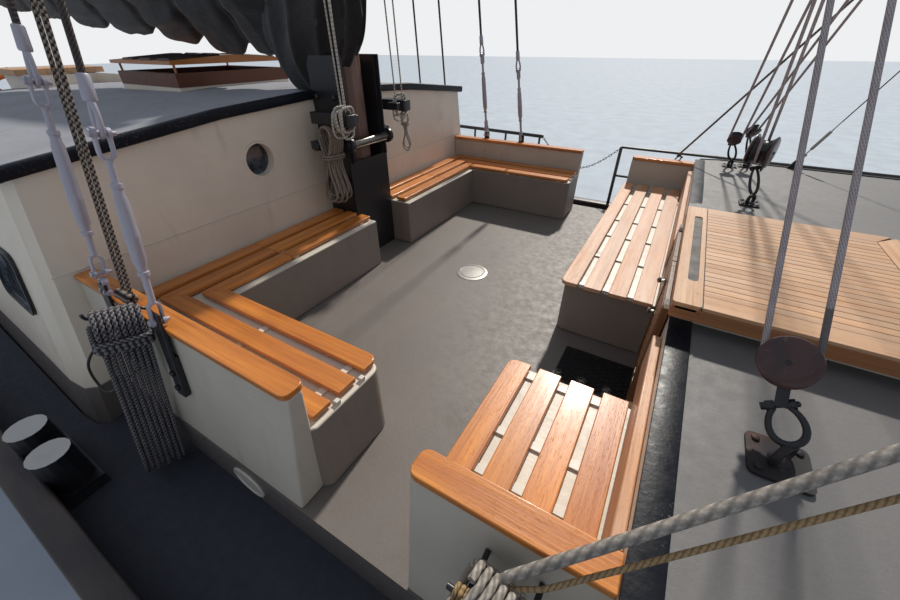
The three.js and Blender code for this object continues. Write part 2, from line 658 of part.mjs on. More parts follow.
// A tabernacle has two cheeks, a low front plate and a lock bar across its front,
// and a belaying cleat on the outside of each cheek. Front and back are measured from the mast's axis.
const LOCK = { rise: 980, disc: 55, discHalf: 12, over: 25 };
const CLEAT = { rise: 960, high: 60, reach: 175, half: 60 };
function tabernacle({ x, foot, height, front, back }) {
  const { width, cheek, wall, lock } = TABERNACLE;
  const half = width / 2;
  const fore = x + front;
  const lockZ = foot + LOCK.rise;
  const lockX = fore + lock - 4;
  const cleatZ = [foot + CLEAT.rise, foot + CLEAT.rise + CLEAT.high];
  const ends = [-half, half].flatMap((y) => {
    const across = [y - LOCK.discHalf, y + LOCK.discHalf];
    return [
      bar([lockX, across[0], lockZ], [lockX, across[1], lockZ], LOCK.disc),
      box([fore - LOCK.disc, lockX], across, [lockZ - LOCK.disc, lockZ + LOCK.disc]),
    ];
  });
  return join(
    ...[-half, half - cheek].map((y) => box([x - back, fore], [y, y + cheek], [foot, foot + height])),
    box([fore - wall, fore], [10 - half, half - 10], [foot, foot + 840]),
    bar([lockX, -half - LOCK.over, lockZ], [lockX, half + LOCK.over, lockZ], lock),
    ...ends,
    ...[5 - half - CLEAT.reach, half - 5].map((y) =>
      box([x - CLEAT.half, x + CLEAT.half], [y, y + CLEAT.reach], cleatZ),
    ),
  );
}

// A mast: two tapers, a band with lugs at each place where stays pull, and the fixed half of its gooseneck.
const BAND = { proud: 35, half: 60, lug: 60, lugHalf: 25 };
function mast({ x, foot, top, r, topR, hounds, stays }, pin) {
  const bands = stays.flatMap(([z, directions]) => {
    const radius = mastRadius({ r, topR, hounds, top }, z) + BAND.proud;
    const lugs = directions.map(([ux, uy]) => {
      const reach = radius + BAND.lug;
      const alongX = [x + Math.min(0, ux * reach), x + Math.max(0, ux * reach)];
      const alongY = [Math.min(0, uy * reach), Math.max(0, uy * reach)];
      const h = BAND.lugHalf;
      return uy ? box([x - h, x + h], alongY, [z - h, z + h]) : box(alongX, [-h, h], [z - h, z + h]);
    });
    return [bar([x, 0, z - BAND.half], [x, 0, z + BAND.half], radius, radius, 16), ...lugs];
  });
  return join(
    bar([x, 0, foot], [x, 0, hounds], r, r * HOUND_TAPER, 16),
    bar([x, 0, hounds - 1], [x, 0, top], r * HOUND_TAPER, topR, 16),
    ...bands,
    ...gooseneck(x, r, pin),
  );
}
const lugFace = (rigMast, z) => mastRadius(rigMast, z) + BAND.proud + BAND.lug;

// The mast's half of a gooseneck: a band, two lugs and a pin.
const GOOSE_PIN = 16;
const GOOSE_INNER = 38; // from the pin's middle to the inner face of each lug
const GOOSE_LUG = 22;
function gooseneck(x, r, pin) {
  const lugs = [-GOOSE_INNER - GOOSE_LUG, GOOSE_INNER].map((z) =>
    box([pin.x - 40, x - r * 0.8], [-45, 45], [pin.z + z, pin.z + z + GOOSE_LUG]),
  );
  return [
    bar([x, 0, pin.z - 90], [x, 0, pin.z + 90], r + 12, r + 12, 16),
    ...lugs,
    bar([pin.x, 0, pin.z - 70], [pin.x, 0, pin.z + 70], GOOSE_PIN),
  ];
}

// For each mast: the gooseneck's pin, the boom and gaff as points and radii, and the furled sail's sections.
const RIGS = {
  mizzen: {
    mast: MIZZEN,
    pin: { x: -5550, z: 4200 },
    boom: { end: [-12700, 4430], r: 85 },
    gaff: { from: [-5760, 4760], end: [-10600, 4870], r: 60 },
    // Columns: x, half width, bottom, top
    bundle: [
      [-5720, 130, 3790, 4640],
      [-6100, 260, 3730, 4790],
      [-7400, 250, 3850, 4790],
      [-9200, 200, 4010, 4790],
      [-10800, 150, 4170, 4700],
      [-11900, 100, 4270, 4540],
    ],
  },
  main: {
    mast: MAIN,
    pin: { x: 5620, z: 4800 },
    boom: { end: [-3600, 5400], r: 120 },
    gaff: { from: [5380, 5520], end: [-1400, 5960], r: 80 },
    bundle: [
      [5430, 150, 4400, 5430],
      [4900, 300, 4330, 5560],
      [2600, 310, 4480, 5680],
      [0, 250, 4760, 5780],
      [-1700, 190, 4980, 5700],
      [-2700, 120, 5150, 5560],
    ],
  },
};
// One section of a furled sail, with ten sides.
function bundleRing([x, half, low, high]) {
  const middle = (low + high) / 2;
  const rise = (high - low) / 2;
  const sides = 10;
  return Array.from({ length: sides }, (_, i) => {
    const a = ((i + 0.5) / sides) * 2 * Math.PI;
    return [x, half * Math.cos(a), middle + rise * Math.sin(a)];
  });
}
for (const [name, rig] of Object.entries(RIGS)) {
  const { pin, boom, gaff } = rig;
  const head = [pin.x - 70, 0, pin.z];
  const boomBar = (grow) => bar(head, [boom.end[0], 0, boom.end[1]], boom.r + grow, boom.r * 0.85 + grow, 16);
  const gaffBar = (grow) =>
    bar([gaff.from[0], 0, gaff.from[1]], [gaff.end[0], 0, gaff.end[1]], gaff.r + grow, gaff.r + grow, 12);
  const tongueHalf = GOOSE_INNER - 2 * GAP;
  const tongue = cut(
    box([pin.x - 160, pin.x + 30], [-30, 30], [pin.z - tongueHalf, pin.z + tongueHalf]),
    bar([pin.x, 0, pin.z - 80], [pin.x, 0, pin.z + 80], holeRadius(GOOSE_PIN, 0.6, 12)),
  );
  piece(`${name}_mast`, "spar", mast(rig.mast, pin));
  piece(`${name}_boom`, "spar", join(boomBar(0), tongue));
  piece(`${name}_gaff`, "spar", gaffBar(0));
  const bundle = loft(rig.bundle.map(bundleRing).reverse());
  piece(`${name}_sail`, "sail", cut(bundle, boomBar(GAP), gaffBar(GAP)));
}
const MIZZEN_BOX = { x: MIZZEN.x, foot: WELL_DECK + GAP, height: 1560, front: 146, back: 139 };
const MAIN_BOX = { x: MAIN.x, foot: PADS.main_step[2] + GAP, height: 1700, front: 190, back: 190 };
piece("mizzen_tabernacle", "black", tabernacle(MIZZEN_BOX));
piece("main_tabernacle", "black", tabernacle(MAIN_BOX));

// Standing rigging
const WIRE = 11;
const SHROUD_EYE = 22; // half thickness of the block where a side's shrouds meet
const wire = (from, to, r = WIRE) => bar(from, to, r, r, 6);
const PANEL_SLOPE = (PANEL.footOut - PANEL.topOut) / (PANEL.top - WELL_DECK);
// A flat bar bolted to a wall by its lower half, with its upper half standing off to clear the rail above.
function chainplate(x, wallAt, [low, high]) {
  const middle = (low + high) / 2;
  const inner = (z, off) => [wallAt(z) + off, z];
  const outline = [
    inner(low, GAP),
    inner(low, 30),
    inner(high, 30),
    inner(high, 16),
    inner(middle, 16),
    inner(middle, GAP),
  ];
  return plate("yz", outline, [x - 32, x + 32]);
}
const panelWall = (z) => PANEL.footOut - (z - WELL_DECK) * PANEL_SLOPE;
const hullWall = () => BEAM_HALF + 45;
// Columns: foot x, wall, height range of the chainplate
const SHROUDS = {
  mizzen: [
    [-4600, panelWall, [2500, 2930]],
    [-5050, panelWall, [2500, 2930]],
    [-6000, hullWall, [1740, 2330]],
    [-6450, hullWall, [1740, 2330]],
  ],
  main: [
    [6250, hullWall, [1850, 2440]],
    [5500, hullWall, [1850, 2440]],
    [4750, hullWall, [1850, 2440]],
  ],
};
for (const [sideName, side] of Object.entries(SIDES)) {
  for (const [mastName, rows] of Object.entries(SHROUDS)) {
    const rigMast = RIGS[mastName].mast;
    const { x, hounds } = rigMast;
    const eye = [x, lugFace(rigMast, hounds) + SHROUD_EYE + GAP, hounds];
    const parts = rows.flatMap(([foot, wallAt, span]) => [
      chainplate(foot, wallAt, span),
      wire([foot, wallAt(span[1]) + 23, span[1] - 40], eye),
    ]);
    const eyeY = [eye[1] - SHROUD_EYE, eye[1] + SHROUD_EYE];
    const collar = box([x - 20, x + 20], eyeY, [hounds - 60, hounds + 20]);
    piece(`${mastName}_shrouds_${sideName}`, "steel", toSide(side, join(...parts, collar)));
  }
}

// The bowsprit lies over the stem between two bitts, with a gammon band at the stem
// and a crance band at its tip.
const SPRIT = { heel: [11000, 3190], tip: [20000, 4270], r: 125, tipR: 75 };
const sprit = (x) => {
  const share = (x - SPRIT.heel[0]) / (SPRIT.tip[0] - SPRIT.heel[0]);
  return {
    z: SPRIT.heel[1] + share * (SPRIT.tip[1] - SPRIT.heel[1]),
    r: SPRIT.r + share * (SPRIT.tipR - SPRIT.r),
  };
};
const SPRIT_BANDS = { gammon: 13880, crance: 19800 };
const SPRIT_LUG = 40; // lugs stand this far above and below a band
const spritBand = (x) => {
  const { z, r } = sprit(x);
  return [
    bar([x - 50, 0, z - 6], [x + 50, 0, z + 6], r + 14, r + 14, 16),
    box([x - 40, x + 40], [-25, 25], [z - r - SPRIT_LUG, z + r + SPRIT_LUG]),
  ];
};
piece(
  "bowsprit",
  "spar",
  join(
    bar([SPRIT.heel[0], 0, SPRIT.heel[1]], [SPRIT.tip[0], 0, SPRIT.tip[1]], SPRIT.r, SPRIT.tipR, 16),
    ...Object.values(SPRIT_BANDS).flatMap(spritBand),
  ),
);
// A stay whose square-cut ends stop just short of the faces that they pull on.
const lugTop = (x) => sprit(x).z + sprit(x).r + SPRIT_LUG;
const lugFoot = (x) => sprit(x).z - sprit(x).r - SPRIT_LUG;
const forestayTop = [MAIN.x + lugFace(MAIN, MAIN.hounds) + 10, 0, MAIN.hounds];
piece("forestay", "steel", wire(forestayTop, [SPRIT_BANDS.gammon, 0, lugTop(SPRIT_BANDS.gammon) + 6.5]));
const jibStayHead = MAIN.stays[1][0];
const jibStayTop = [MAIN.x + lugFace(MAIN, jibStayHead) + 9, 0, jibStayHead];
piece("jib_stay", "steel", wire(jibStayTop, [SPRIT_BANDS.crance, 0, lugTop(SPRIT_BANDS.crance) + 8]));
const BOBSTAY_R = 16;
piece(
  "bobstay",
  "steel",
  wire([SPRIT_BANDS.crance, 0, lugFoot(SPRIT_BANDS.crance) - 15.5], [13330 + 6.1, 0, 1335], BOBSTAY_R),
);

// Leeboards, hung on a pin each side and drawn up along the hull
function leeboard() {
  const { x, z, y, pin, length, width } = LEEBOARD;
  // Columns: share of the length aft of the pin, share of the width below it
  const outline = [
    [-0.07, -0.12],
    [-0.07, 0.12],
    [0.1, 0.22],
    [0.6, 0.4],
    [0.9, 0.47],
    [0.98, 0.3],
    [1.0, -0.1],
    [0.96, -0.4],
    [0.85, -0.5],
    [0.5, -0.42],
    [0.1, -0.24],
  ].map(([u, v]) => [x - u * length, z - v * width]);
  const pinHole = bar([x, y[0] - 50, z], [x, y[1] + 50, z], holeRadius(pin, 1, 12));
  return cut(plate("xz", outline.reverse(), y), pinHole);
}
for (const [sideName, side] of Object.entries(SIDES)) {
  piece(`leeboard_${sideName}`, "varnish", toSide(side, leeboard()));
}

// Steering: rudder under the counter, gear box over its head, wheel on the aft side
function rudder() {
  const { x, r, low, high, head } = RUDDER;
  const blade = [
    [x + 90, low + 60],
    [x + 90, high - 120],
    [x - 60, high],
    [x - 800, high - 30],
    [x - 1000, high - 250],
    [x - 1050, low + 60],
  ];
  return join(bar([x, 0, low], [x, 0, head], r, r, 12), plate("xz", blade, [-28, 28]));
}
piece("rudder", "hull", rudder());
const GEAR_BOX = { x: [-12480, -11920], half: 230, foot: PADS.helm[2] + GAP, top: 3180 };
const WHEEL = { x: -12620, z: 3010, r: 520, rim: 34, shaft: 22, spokes: 8 };
piece(
  "steering_gear_box",
  "brown",
  cut(
    box(GEAR_BOX.x, [-GEAR_BOX.half, GEAR_BOX.half], [GEAR_BOX.foot, GEAR_BOX.top]),
    box([RUDDER.x - 150, RUDDER.x + 150], [-150, 150], [GEAR_BOX.foot - 50, RUDDER.head + 60]),
    bar([WHEEL.x - 50, 0, WHEEL.z], [GEAR_BOX.x[0] + 200, 0, WHEEL.z], holeRadius(WHEEL.shaft, 0.6, 12)),
  ),
);
function wheel() {
  const { x, z, r, rim, shaft: shaftR, spokes } = WHEEL;
  const ring = new THREE.TorusGeometry(r * 0.8, rim, 8, 32).rotateY(Math.PI / 2).translate(x, 0, z);
  const arms = Array.from({ length: spokes }, (_, i) => {
    const a = (i / spokes) * 2 * Math.PI;
    return bar([x, 0, z], [x, r * Math.cos(a), z + r * Math.sin(a)], 18, 15, 8);
  });
  const hub = bar([x - 45, 0, z], [x + 45, 0, z], 85);
  const collar = bar([x, 0, z], [GEAR_BOX.x[0] - 2 * GAP, 0, z], 40);
  return join(ring, ...arms, hub, collar, bar([x, 0, z], [GEAR_BOX.x[0] + 180, 0, z], shaftR));
}
piece("steering_wheel", "varnish", wheel());

function propeller() {
  const { x, z, r, hub, shaft: shaftR } = PROPELLER;
  const root = hub * 0.6;
  const span = (r - root) / 2;
  const blades = Array.from({ length: 4 }, (_, i) => {
    const blade = new THREE.CylinderGeometry(1, 1, 16, 14).scale(span * 0.75, 1, span);
    blade.rotateZ(Math.PI / 2).rotateZ(PROPELLER.pitch).translate(0, 0, root + span);
    return blade.rotateX((i / 4) * 2 * Math.PI).translate(x, 0, z);
  });
  const boss = bar([x - 70, 0, z], [x + 80, 0, z], hub * 0.7, hub, 16);
  const collar = bar([x, 0, z], [STERN_TUBE.aft - 2 * GAP, 0, z], 60, 60, 16);
  return join(boss, collar, bar([x, 0, z], [-9760, 0, z], shaftR), ...blades);
}
piece("propeller", "bronze", propeller());

// Foredeck gear
const WINDLASS = { x: 10320, z: 2830, foot: PADS.windlass[2] + GAP, cheek: 40, half: 380, drum: 130 };
const SPINDLE = 42;
function windlassFrame() {
  const { x, z, foot, cheek, half } = WINDLASS;
  const outline = [
    [x - 260, foot],
    [x + 260, foot],
    [x + 90, z + 90],
    [x - 90, z + 90],
  ];
  const spindleHole = holeRadius(SPINDLE, 0.6, 12);
  const cheeks = [-half, half - cheek].map((y) =>
    cut(plate("xz", outline, [y, y + cheek]), bar([x, y - 50, z], [x, y + cheek + 50, z], spindleHole)),
  );
  return join(...cheeks, box([x - 250, x + 250], [-half, half], [foot, foot + 30]));
}
piece("windlass_frame", "black", windlassFrame());
// The drum between the cheeks, with a collar against each cheek and a warping end outside it
function windlassDrum() {
  const { x, z, cheek, half, drum } = WINDLASS;
  const inner = half - cheek;
  const along = (y0, y1, r0, r1 = r0) => bar([x, y0, z], [x, y1, z], r0, r1, 16);
  const ends = [-1, 1].map((side) => along(side * (half + RUN), side * 620, 110, 85));
  return join(
    along(RUN - inner, inner - RUN, drum),
    along(2 * GAP - inner, inner - 2 * GAP, 60),
    bar([x, -640, z], [x, 640, z], SPINDLE),
    ...ends,
  );
}
piece("windlass_drum", "black", windlassDrum());

for (const [sideName, side] of Object.entries(SIDES)) {
  for (const [name, x] of BOLLARDS) {
    const { y, foot } = bollardPlace(x);
    const low = foot + GAP;
    const { spread, half, width, r, rise } = BOLLARD;
    const posts = [-spread, spread].map((dx) => bar([x + dx, y, low], [x + dx, y, low + rise], r, r, 16));
    const sole = box([x - half, x + half], [y - width, y + width], [low, low + 20]);
    piece(`bollard_${name}_${sideName}`, "black", toSide(side, join(sole, ...posts)));
  }
}

// Anchors, one hung at each bow
const ANCHOR = { x: 12350, z: 2050, shank: 950 };
// Corners of a fluke, seen from the side and measured from the crown.
const FLUKE = [[420, 330], [360, 90], [210, 250]];
function anchor() {
  const { x, z, shank } = ANCHOR;
  const y = ANCHOR_PAD.face + 45;
  const crown = [x - 60, y, z - shank / 2];
  const ring = [x, y, z + shank / 2];
  const arms = [-1, 1].flatMap((d) => {
    const fluke = FLUKE.map(([u, v]) => [crown[0] + d * u, crown[2] + v]);
    return [
      bar(crown, [crown[0] + d * 330, y, crown[2] + 230], 42, 28, 8),
      plate("xz", d === 1 ? fluke.reverse() : fluke, [y - 20, y + 20]),
    ];
  });
  const hanger = box([x - 25, x + 25], [ANCHOR_PAD.face + GAP, y], [ring[2] - 45, ring[2] + 15]);
  return join(bar(crown, ring, 40, 30, 8), hanger, ...arms);
}
for (const [sideName, side] of Object.entries(SIDES)) {
  piece(`anchor_${sideName}`, "black", toSide(side, anchor()));
}

// Guard rails along the forward deckhouse
const RAIL = { x: [-3560, 2740], y: 2650, rise: 740, middle: 0.55, step: 1575, tube: 19 };
const BULWARK = 150; // above the deck edge amidships
for (const [sideName, side] of Object.entries(SIDES)) {
  const levels = [RAIL.rise, RAIL.rise * RAIL.middle].map((rise) => {
    const z = SIDE_DECK + BULWARK + rise;
    return bar([RAIL.x[0], RAIL.y, z], [RAIL.x[1], RAIL.y, z], RAIL.tube * 0.8, RAIL.tube * 0.8, 8);
  });
  const posts = [];
  for (let x = RAIL.x[0]; x <= RAIL.x[1]; x += RAIL.step) {
    const foot = Math.max(deckEdge(x - RAIL.tube), deckEdge(x + RAIL.tube)) + BULWARK + GAP;
    posts.push(bar([x, RAIL.y, foot], [x, RAIL.y, SIDE_DECK + BULWARK + RAIL.rise], RAIL.tube, RAIL.tube, 8));
  }
  piece(`guard_rail_${sideName}`, "black", toSide(side, join(...levels, ...posts)));
}

export default barge;
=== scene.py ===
"""Two-masted flat-bottomed sailing barge, afloat with her sails furled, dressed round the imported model.
Metres, +X to the bow, +Y to port, +Z up, with the origin on the flat bottom amidships."""

import bmesh
import bpy
import numpy as np
from mathutils import Matrix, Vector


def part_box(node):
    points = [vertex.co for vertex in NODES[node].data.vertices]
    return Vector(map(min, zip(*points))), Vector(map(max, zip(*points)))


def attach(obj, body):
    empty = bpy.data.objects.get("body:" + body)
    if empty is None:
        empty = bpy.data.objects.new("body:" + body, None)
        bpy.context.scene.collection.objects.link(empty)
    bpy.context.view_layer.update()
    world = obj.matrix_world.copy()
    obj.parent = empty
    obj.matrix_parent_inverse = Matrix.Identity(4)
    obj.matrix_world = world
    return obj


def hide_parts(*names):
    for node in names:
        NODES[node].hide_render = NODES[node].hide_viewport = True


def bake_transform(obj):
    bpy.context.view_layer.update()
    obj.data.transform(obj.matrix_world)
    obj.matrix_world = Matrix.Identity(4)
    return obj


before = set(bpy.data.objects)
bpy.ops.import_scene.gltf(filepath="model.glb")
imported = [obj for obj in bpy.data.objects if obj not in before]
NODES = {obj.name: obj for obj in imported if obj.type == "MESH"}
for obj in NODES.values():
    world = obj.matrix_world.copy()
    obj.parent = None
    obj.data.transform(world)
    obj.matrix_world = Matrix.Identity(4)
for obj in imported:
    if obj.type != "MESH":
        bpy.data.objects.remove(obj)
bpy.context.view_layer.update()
SIDES = {"port": 1, "starboard": -1}

# Camera: at head height over the starboard side deck, looking aft and to port across the seating well.
EYE = np.array([-2.944, -2.456, 3.833])
YAW, DOWN, ROLL = np.radians([30.56, 34.73, -0.26])
LENS = 14.88
ahead = np.array([-np.sin(YAW) * np.cos(DOWN), np.cos(YAW) * np.cos(DOWN), -np.sin(DOWN)])
level = np.array([np.cos(YAW), np.sin(YAW), 0.0])
above = np.cross(level, ahead)
across = level * np.cos(ROLL) + above * np.sin(ROLL)
above = above * np.cos(ROLL) - level * np.sin(ROLL)
camera_data = bpy.data.cameras.new("camera")
camera_data.lens = LENS
camera_data.clip_start = 0.02
camera_data.clip_end = 500


def stand(name, data, right, upward, backward, at=(0, 0, 0)):
    """Puts a camera or a lamp in the scene by its three directions and its place."""
    thing = bpy.data.objects.new(name, data)
    turn = np.eye(4)
    turn[:3] = np.stack([right, upward, backward, at], 1)
    thing.matrix_world = Matrix(turn.tolist())
    bpy.context.scene.collection.objects.link(thing)
    return thing


bpy.context.scene.camera = stand("camera", camera_data, across, above, -ahead, EYE)

# Light: one warm lamp, half high over the port side, and a pale room all round.
SUN_FROM = (-0.06, 0.74, 0.67)
sun_data = bpy.data.lights.new("sun", "SUN")
sun_data.energy = 3.6
sun_data.angle = np.radians(2.5)
sun_data.color = (1.0, 0.95, 0.87)
room = bpy.data.worlds.new("room")
room.use_nodes = True
sky = room.node_tree.nodes["Background"]
sky.inputs["Color"].default_value = (0.8, 0.87, 1.0, 1)
sky.inputs["Strength"].default_value = 0.43
backdrop = room.node_tree.nodes.new("ShaderNodeBackground")
backdrop.inputs["Color"].default_value = (0.86, 0.87, 0.88, 1)
backdrop.inputs["Strength"].default_value = 1.0
seen = room.node_tree.nodes.new("ShaderNodeLightPath")
choice = room.node_tree.nodes.new("ShaderNodeMixShader")
room.node_tree.links.new(seen.outputs["Is Camera Ray"], choice.inputs[0])
room.node_tree.links.new(sky.outputs[0], choice.inputs[1])
room.node_tree.links.new(backdrop.outputs[0], choice.inputs[2])
room.node_tree.links.new(choice.outputs[0], room.node_tree.nodes["World Output"].inputs[0])
bpy.context.scene.world = room
bpy.context.scene.view_settings.view_transform = "Standard"


def unit(v):
    """A direction of length one, or an array of them."""
    v = np.asarray(v, float)
    return v / np.linalg.norm(v, axis=-1, keepdims=True)


lamp_z = unit(SUN_FROM)
lamp_x = unit(np.cross((0, 0, 1), lamp_z))
stand("sun", sun_data, lamp_x, np.cross(lamp_z, lamp_x), lamp_z)

# Floor: plain and pale, at the waterline. As the first piece it brings the helpers for shapes and materials.
# A shape is (points, groups of faces with the same number of corners, grain coordinates). A material is a
# Principled shader whose colour, roughness and relief come from groups that vary over the surface.
WATERLINE = 1.12


def skin(rings, closed=False):
    """Faces over rings of points: quads between neighbours, and a face on either end unless they close."""
    n, m = rings.shape[:2]
    index = np.arange(n * m).reshape(n, m)
    here, there = (index, np.roll(index, -1, 0)) if closed else (index[:-1], index[1:])
    walls = np.stack([here, np.roll(here, -1, 1), np.roll(there, -1, 1), there], -1).reshape(-1, 4)
    return [walls] if closed else [walls, np.stack([index[0, ::-1], index[-1]])]


def plate(outline, low, high, plane="xy", along=0):
    """An outline in one plane, drawn along the third axis. Its grain runs along the axis `along`."""
    outline = np.asarray(outline, float)
    first, second, third = {"xy": (0, 1, 2), "xz": (0, 2, 1), "yz": (1, 2, 0)}[plane]
    rings = np.zeros((2, len(outline), 3))
    rings[:, :, first], rings[:, :, second] = outline[:, 0], outline[:, 1]
    rings[0, :, third], rings[1, :, third] = low, high
    points = rings.reshape(-1, 3)
    return points, skin(rings), points[:, [along, (along + 1) % 3, (along + 2) % 3]]


def rounded(corners, radii, steps=6):
    """An outline with curved corners. Each curve joins the points a radius back along the corner's edges."""
    corners = np.asarray(corners, float)
    back = unit(np.roll(corners, 1, 0) - corners)
    on = unit(np.roll(corners, -1, 0) - corners)
    radii = np.broadcast_to(radii, len(corners))[:, None]
    a, b = (corners + radii * back)[:, None], (corners + radii * on)[:, None]
    t = np.linspace(0, 1, steps)[None, :, None]
    points = ((1 - t) ** 2 * a + 2 * t * (1 - t) * corners[:, None] + t**2 * b).reshape(-1, 2)
    keep = np.linalg.norm(points - np.roll(points, 1, 0), axis=1) > 1e-6
    return points[keep]


def oblong(first, second, radii=0.0, steps=6):
    """A rectangle's outline from the low and high value on each axis, with rounded corners if asked."""
    (a0, a1), (b0, b1) = first, second
    corners = [(a0, b0), (a1, b0), (a1, b1), (a0, b1)]
    return rounded(corners, radii, steps) if np.any(radii) else corners


def block(x, y, z, radius=0.0, along=0, plane="xy"):
    """A box between two corners, its four edges along the third axis rounded in plan."""
    first, second, third = {"xy": (x, y, z), "xz": (x, z, y), "yz": (y, z, x)}[plane]
    return plate(oblong(first, second, radius), *third, plane, along)


def distances(path):
    """How far along a path each of its points is."""
    return np.concatenate([[0], np.cumsum(np.linalg.norm(np.diff(path, axis=0), axis=1))])


def carried(profile, path, up=(0, 0, 1), size=1.0, closed=False):
    """A profile carried along a path, scaled. Every ring is square to it, its first axis also to `up`."""
    path = np.asarray(path, float)
    steps = np.roll(path, -1, 0) - np.roll(path, 1, 0) if closed else np.gradient(path, axis=0)
    tangent = unit(steps)
    side = unit(np.cross(np.broadcast_to(up, path.shape), tangent))
    lift = np.cross(tangent, side)
    rings = np.asarray(profile, float) * np.broadcast_to(size, len(path))[:, None, None]
    points = path[:, None] + rings[..., :1] * side[:, None] + rings[..., 1:] * lift[:, None]
    reach = np.repeat(distances(path)[:, None], len(profile), 1)
    grain = np.dstack([reach, rings[..., 0], rings[..., 1]])
    return points.reshape(-1, 3), skin(points, closed), grain.reshape(-1, 3)


def circle(radius, sides=12):
    """Points round a circle."""
    a = np.arange(sides) * 2 * np.pi / sides
    return radius * np.stack([np.cos(a), np.sin(a)], 1)


def oval(middle, first, second, count):
    """Points round an oval, from its middle and its two half axes."""
    a = np.arange(count)[:, None] * 2 * np.pi / count
    middle, first, second = (np.asarray(given, float) for given in (middle, first, second))
    return middle + np.cos(a) * first + np.sin(a) * second


def tube(path, radius, sides=10, up=(0, 0, 1), closed=False):
    """A round bar along a path."""
    return carried(circle(1.0, sides), path, up, radius, closed)


def bar(a, b, r0, r1=None, sides=12):
    """A straight round bar from one point to another, tapering if it has a second radius."""
    a, b = np.asarray(a, float), np.asarray(b, float)
    up = (1, 0, 0) if abs(unit(b - a)[0]) < 0.9 else (0, 1, 0)
    return carried(circle(1.0, sides), [a, b], up, np.array([r0, r0 if r1 is None else r1]))


def turned(profile, start, direction, sides=24, closed=False):
    """A profile of (distance along the axis, radius) turned round the axis, solid or with an open middle."""
    profile = np.asarray(profile, float)
    direction = unit(direction)
    across_axis = unit(np.cross(direction, (0, 0, 1) if abs(direction[2]) < 0.9 else (1, 0, 0)))
    round_axis = oval((0, 0, 0), across_axis, np.cross(direction, across_axis), sides)
    points = np.asarray(start, float) + profile[:, :1, None] * direction + profile[:, 1:, None] * round_axis
    grain = np.dstack([np.repeat(profile[:, :1], sides, 1), points[..., 0], points[..., 1]])
    return points.reshape(-1, 3), skin(points, closed), grain.reshape(-1, 3)


def curve(points, count):
    """A smooth path through points: between two of them a cubic whose slopes join their neighbours."""
    p = np.asarray(points, float)
    slope = np.gradient(p, axis=0)
    s = np.linspace(0, len(p) - 1, count)
    i = np.minimum(s.astype(int), len(p) - 2)
    t = (s - i)[:, None]
    a, b, da, db = p[i], p[i + 1], slope[i], slope[i + 1]
    rest = (2 * t**3 - 3 * t**2 + 1) * a + (t**3 - 2 * t**2 + t) * da
    return rest + (3 * t**2 - 2 * t**3) * b + (t**3 - t**2) * db


def for_side(side, shapes):
    """Shapes drawn for the port side, mirrored where the side is the starboard one."""
    return [(points * (1, side, 1), faces, grain) for points, faces, grain in shapes]


def piece(
    name, shapes, material, body="hull", replaces=(), bevel=0.0, sharp=35, segments=2
):
    """One object from shapes. It carries each point's grain coordinates and a tone for each shape in
    attributes. It rides on the hull unless another body is named."""
    groups, base, grain, tone = [], 0, [], []
    for number, (points, faces, coordinates) in enumerate(shapes):
        groups += [np.asarray(group) + base for group in faces]
        base += len(points)
        grain.append(coordinates + np.array([0.0, 0.37, 0.61]) * number)
        tone.append(np.full(len(points), (0.5 + number * 0.618) % 1.0))
    sizes = np.concatenate([np.full(len(group), group.shape[1]) for group in groups])
    corners = np.concatenate([group.ravel() for group in groups])
    made = bpy.data.meshes.new(name)
    made.vertices.add(base)
    made.vertices.foreach_set("co", np.concatenate([points for points, _, _ in shapes]).ravel())
    made.loops.add(len(corners))
    made.loops.foreach_set("vertex_index", corners)
    made.polygons.add(len(sizes))
    made.polygons.foreach_set("loop_start", np.concatenate([[0], np.cumsum(sizes)[:-1]]))
    made.update(calc_edges=True)
    made.attributes.new("grain", "FLOAT_VECTOR", "POINT").data.foreach_set(
        "vector", np.concatenate(grain).ravel()
    )
    made.attributes.new("tone", "FLOAT", "POINT").data.foreach_set("value", np.concatenate(tone))
    shell = bmesh.new()
    shell.from_mesh(made)
    bmesh.ops.recalc_face_normals(shell, faces=shell.faces)
    shell.to_mesh(made)
    shell.free()
    made.shade_smooth()
    made.materials.append(material)
    thing = bpy.data.objects.new(name, made)
    bpy.context.scene.collection.objects.link(thing)
    if bevel:
        rounding = thing.modifiers.new("edges", "BEVEL")
        rounding.width = bevel
        rounding.segments = segments
        rounding.limit_method = "ANGLE"
        rounding.angle_limit = np.radians(sharp)
        rounding.harden_normals = True
    else:
        made.set_sharp_from_angle(angle=np.radians(sharp))
    if body:
        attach(thing, body)
    if replaces:
        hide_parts(*replaces)
    return thing


def add(tree, kind, values=None, **settings):
    """A shader node with its settings, and its inputs set to values or linked to other nodes' outputs."""
    node = tree.nodes.new("ShaderNode" + kind)
    for key, value in settings.items():
        setattr(node, key, value)
    for key, value in (values or {}).items():
        if isinstance(value, bpy.types.NodeSocket):
            tree.links.new(value, node.inputs[key])
        else:
            node.inputs[key].default_value = value
    return node


def shader_group(name, inputs, outputs):
    """An empty node group with named sockets, and its input and output nodes."""
    tree = bpy.data.node_groups.new(name, "ShaderNodeTree")
    kinds = {"v": "NodeSocketVector", "c": "NodeSocketColor", "f": "NodeSocketFloat"}
    for title, kind in inputs:
        tree.interface.new_socket(title, in_out="INPUT", socket_type=kinds[kind])
    for title, kind in outputs:
        tree.interface.new_socket(title, in_out="OUTPUT", socket_type=kinds[kind])
    return tree, tree.nodes.new("NodeGroupInput").outputs, tree.nodes.new("NodeGroupOutput").inputs


def mixed(tree, share, a, b, blend="MIX"):
    """Two colours mixed by a share."""
    return add(tree, "Mix", {0: share, 6: a, 7: b}, data_type="RGBA", blend_type=blend).outputs[2]


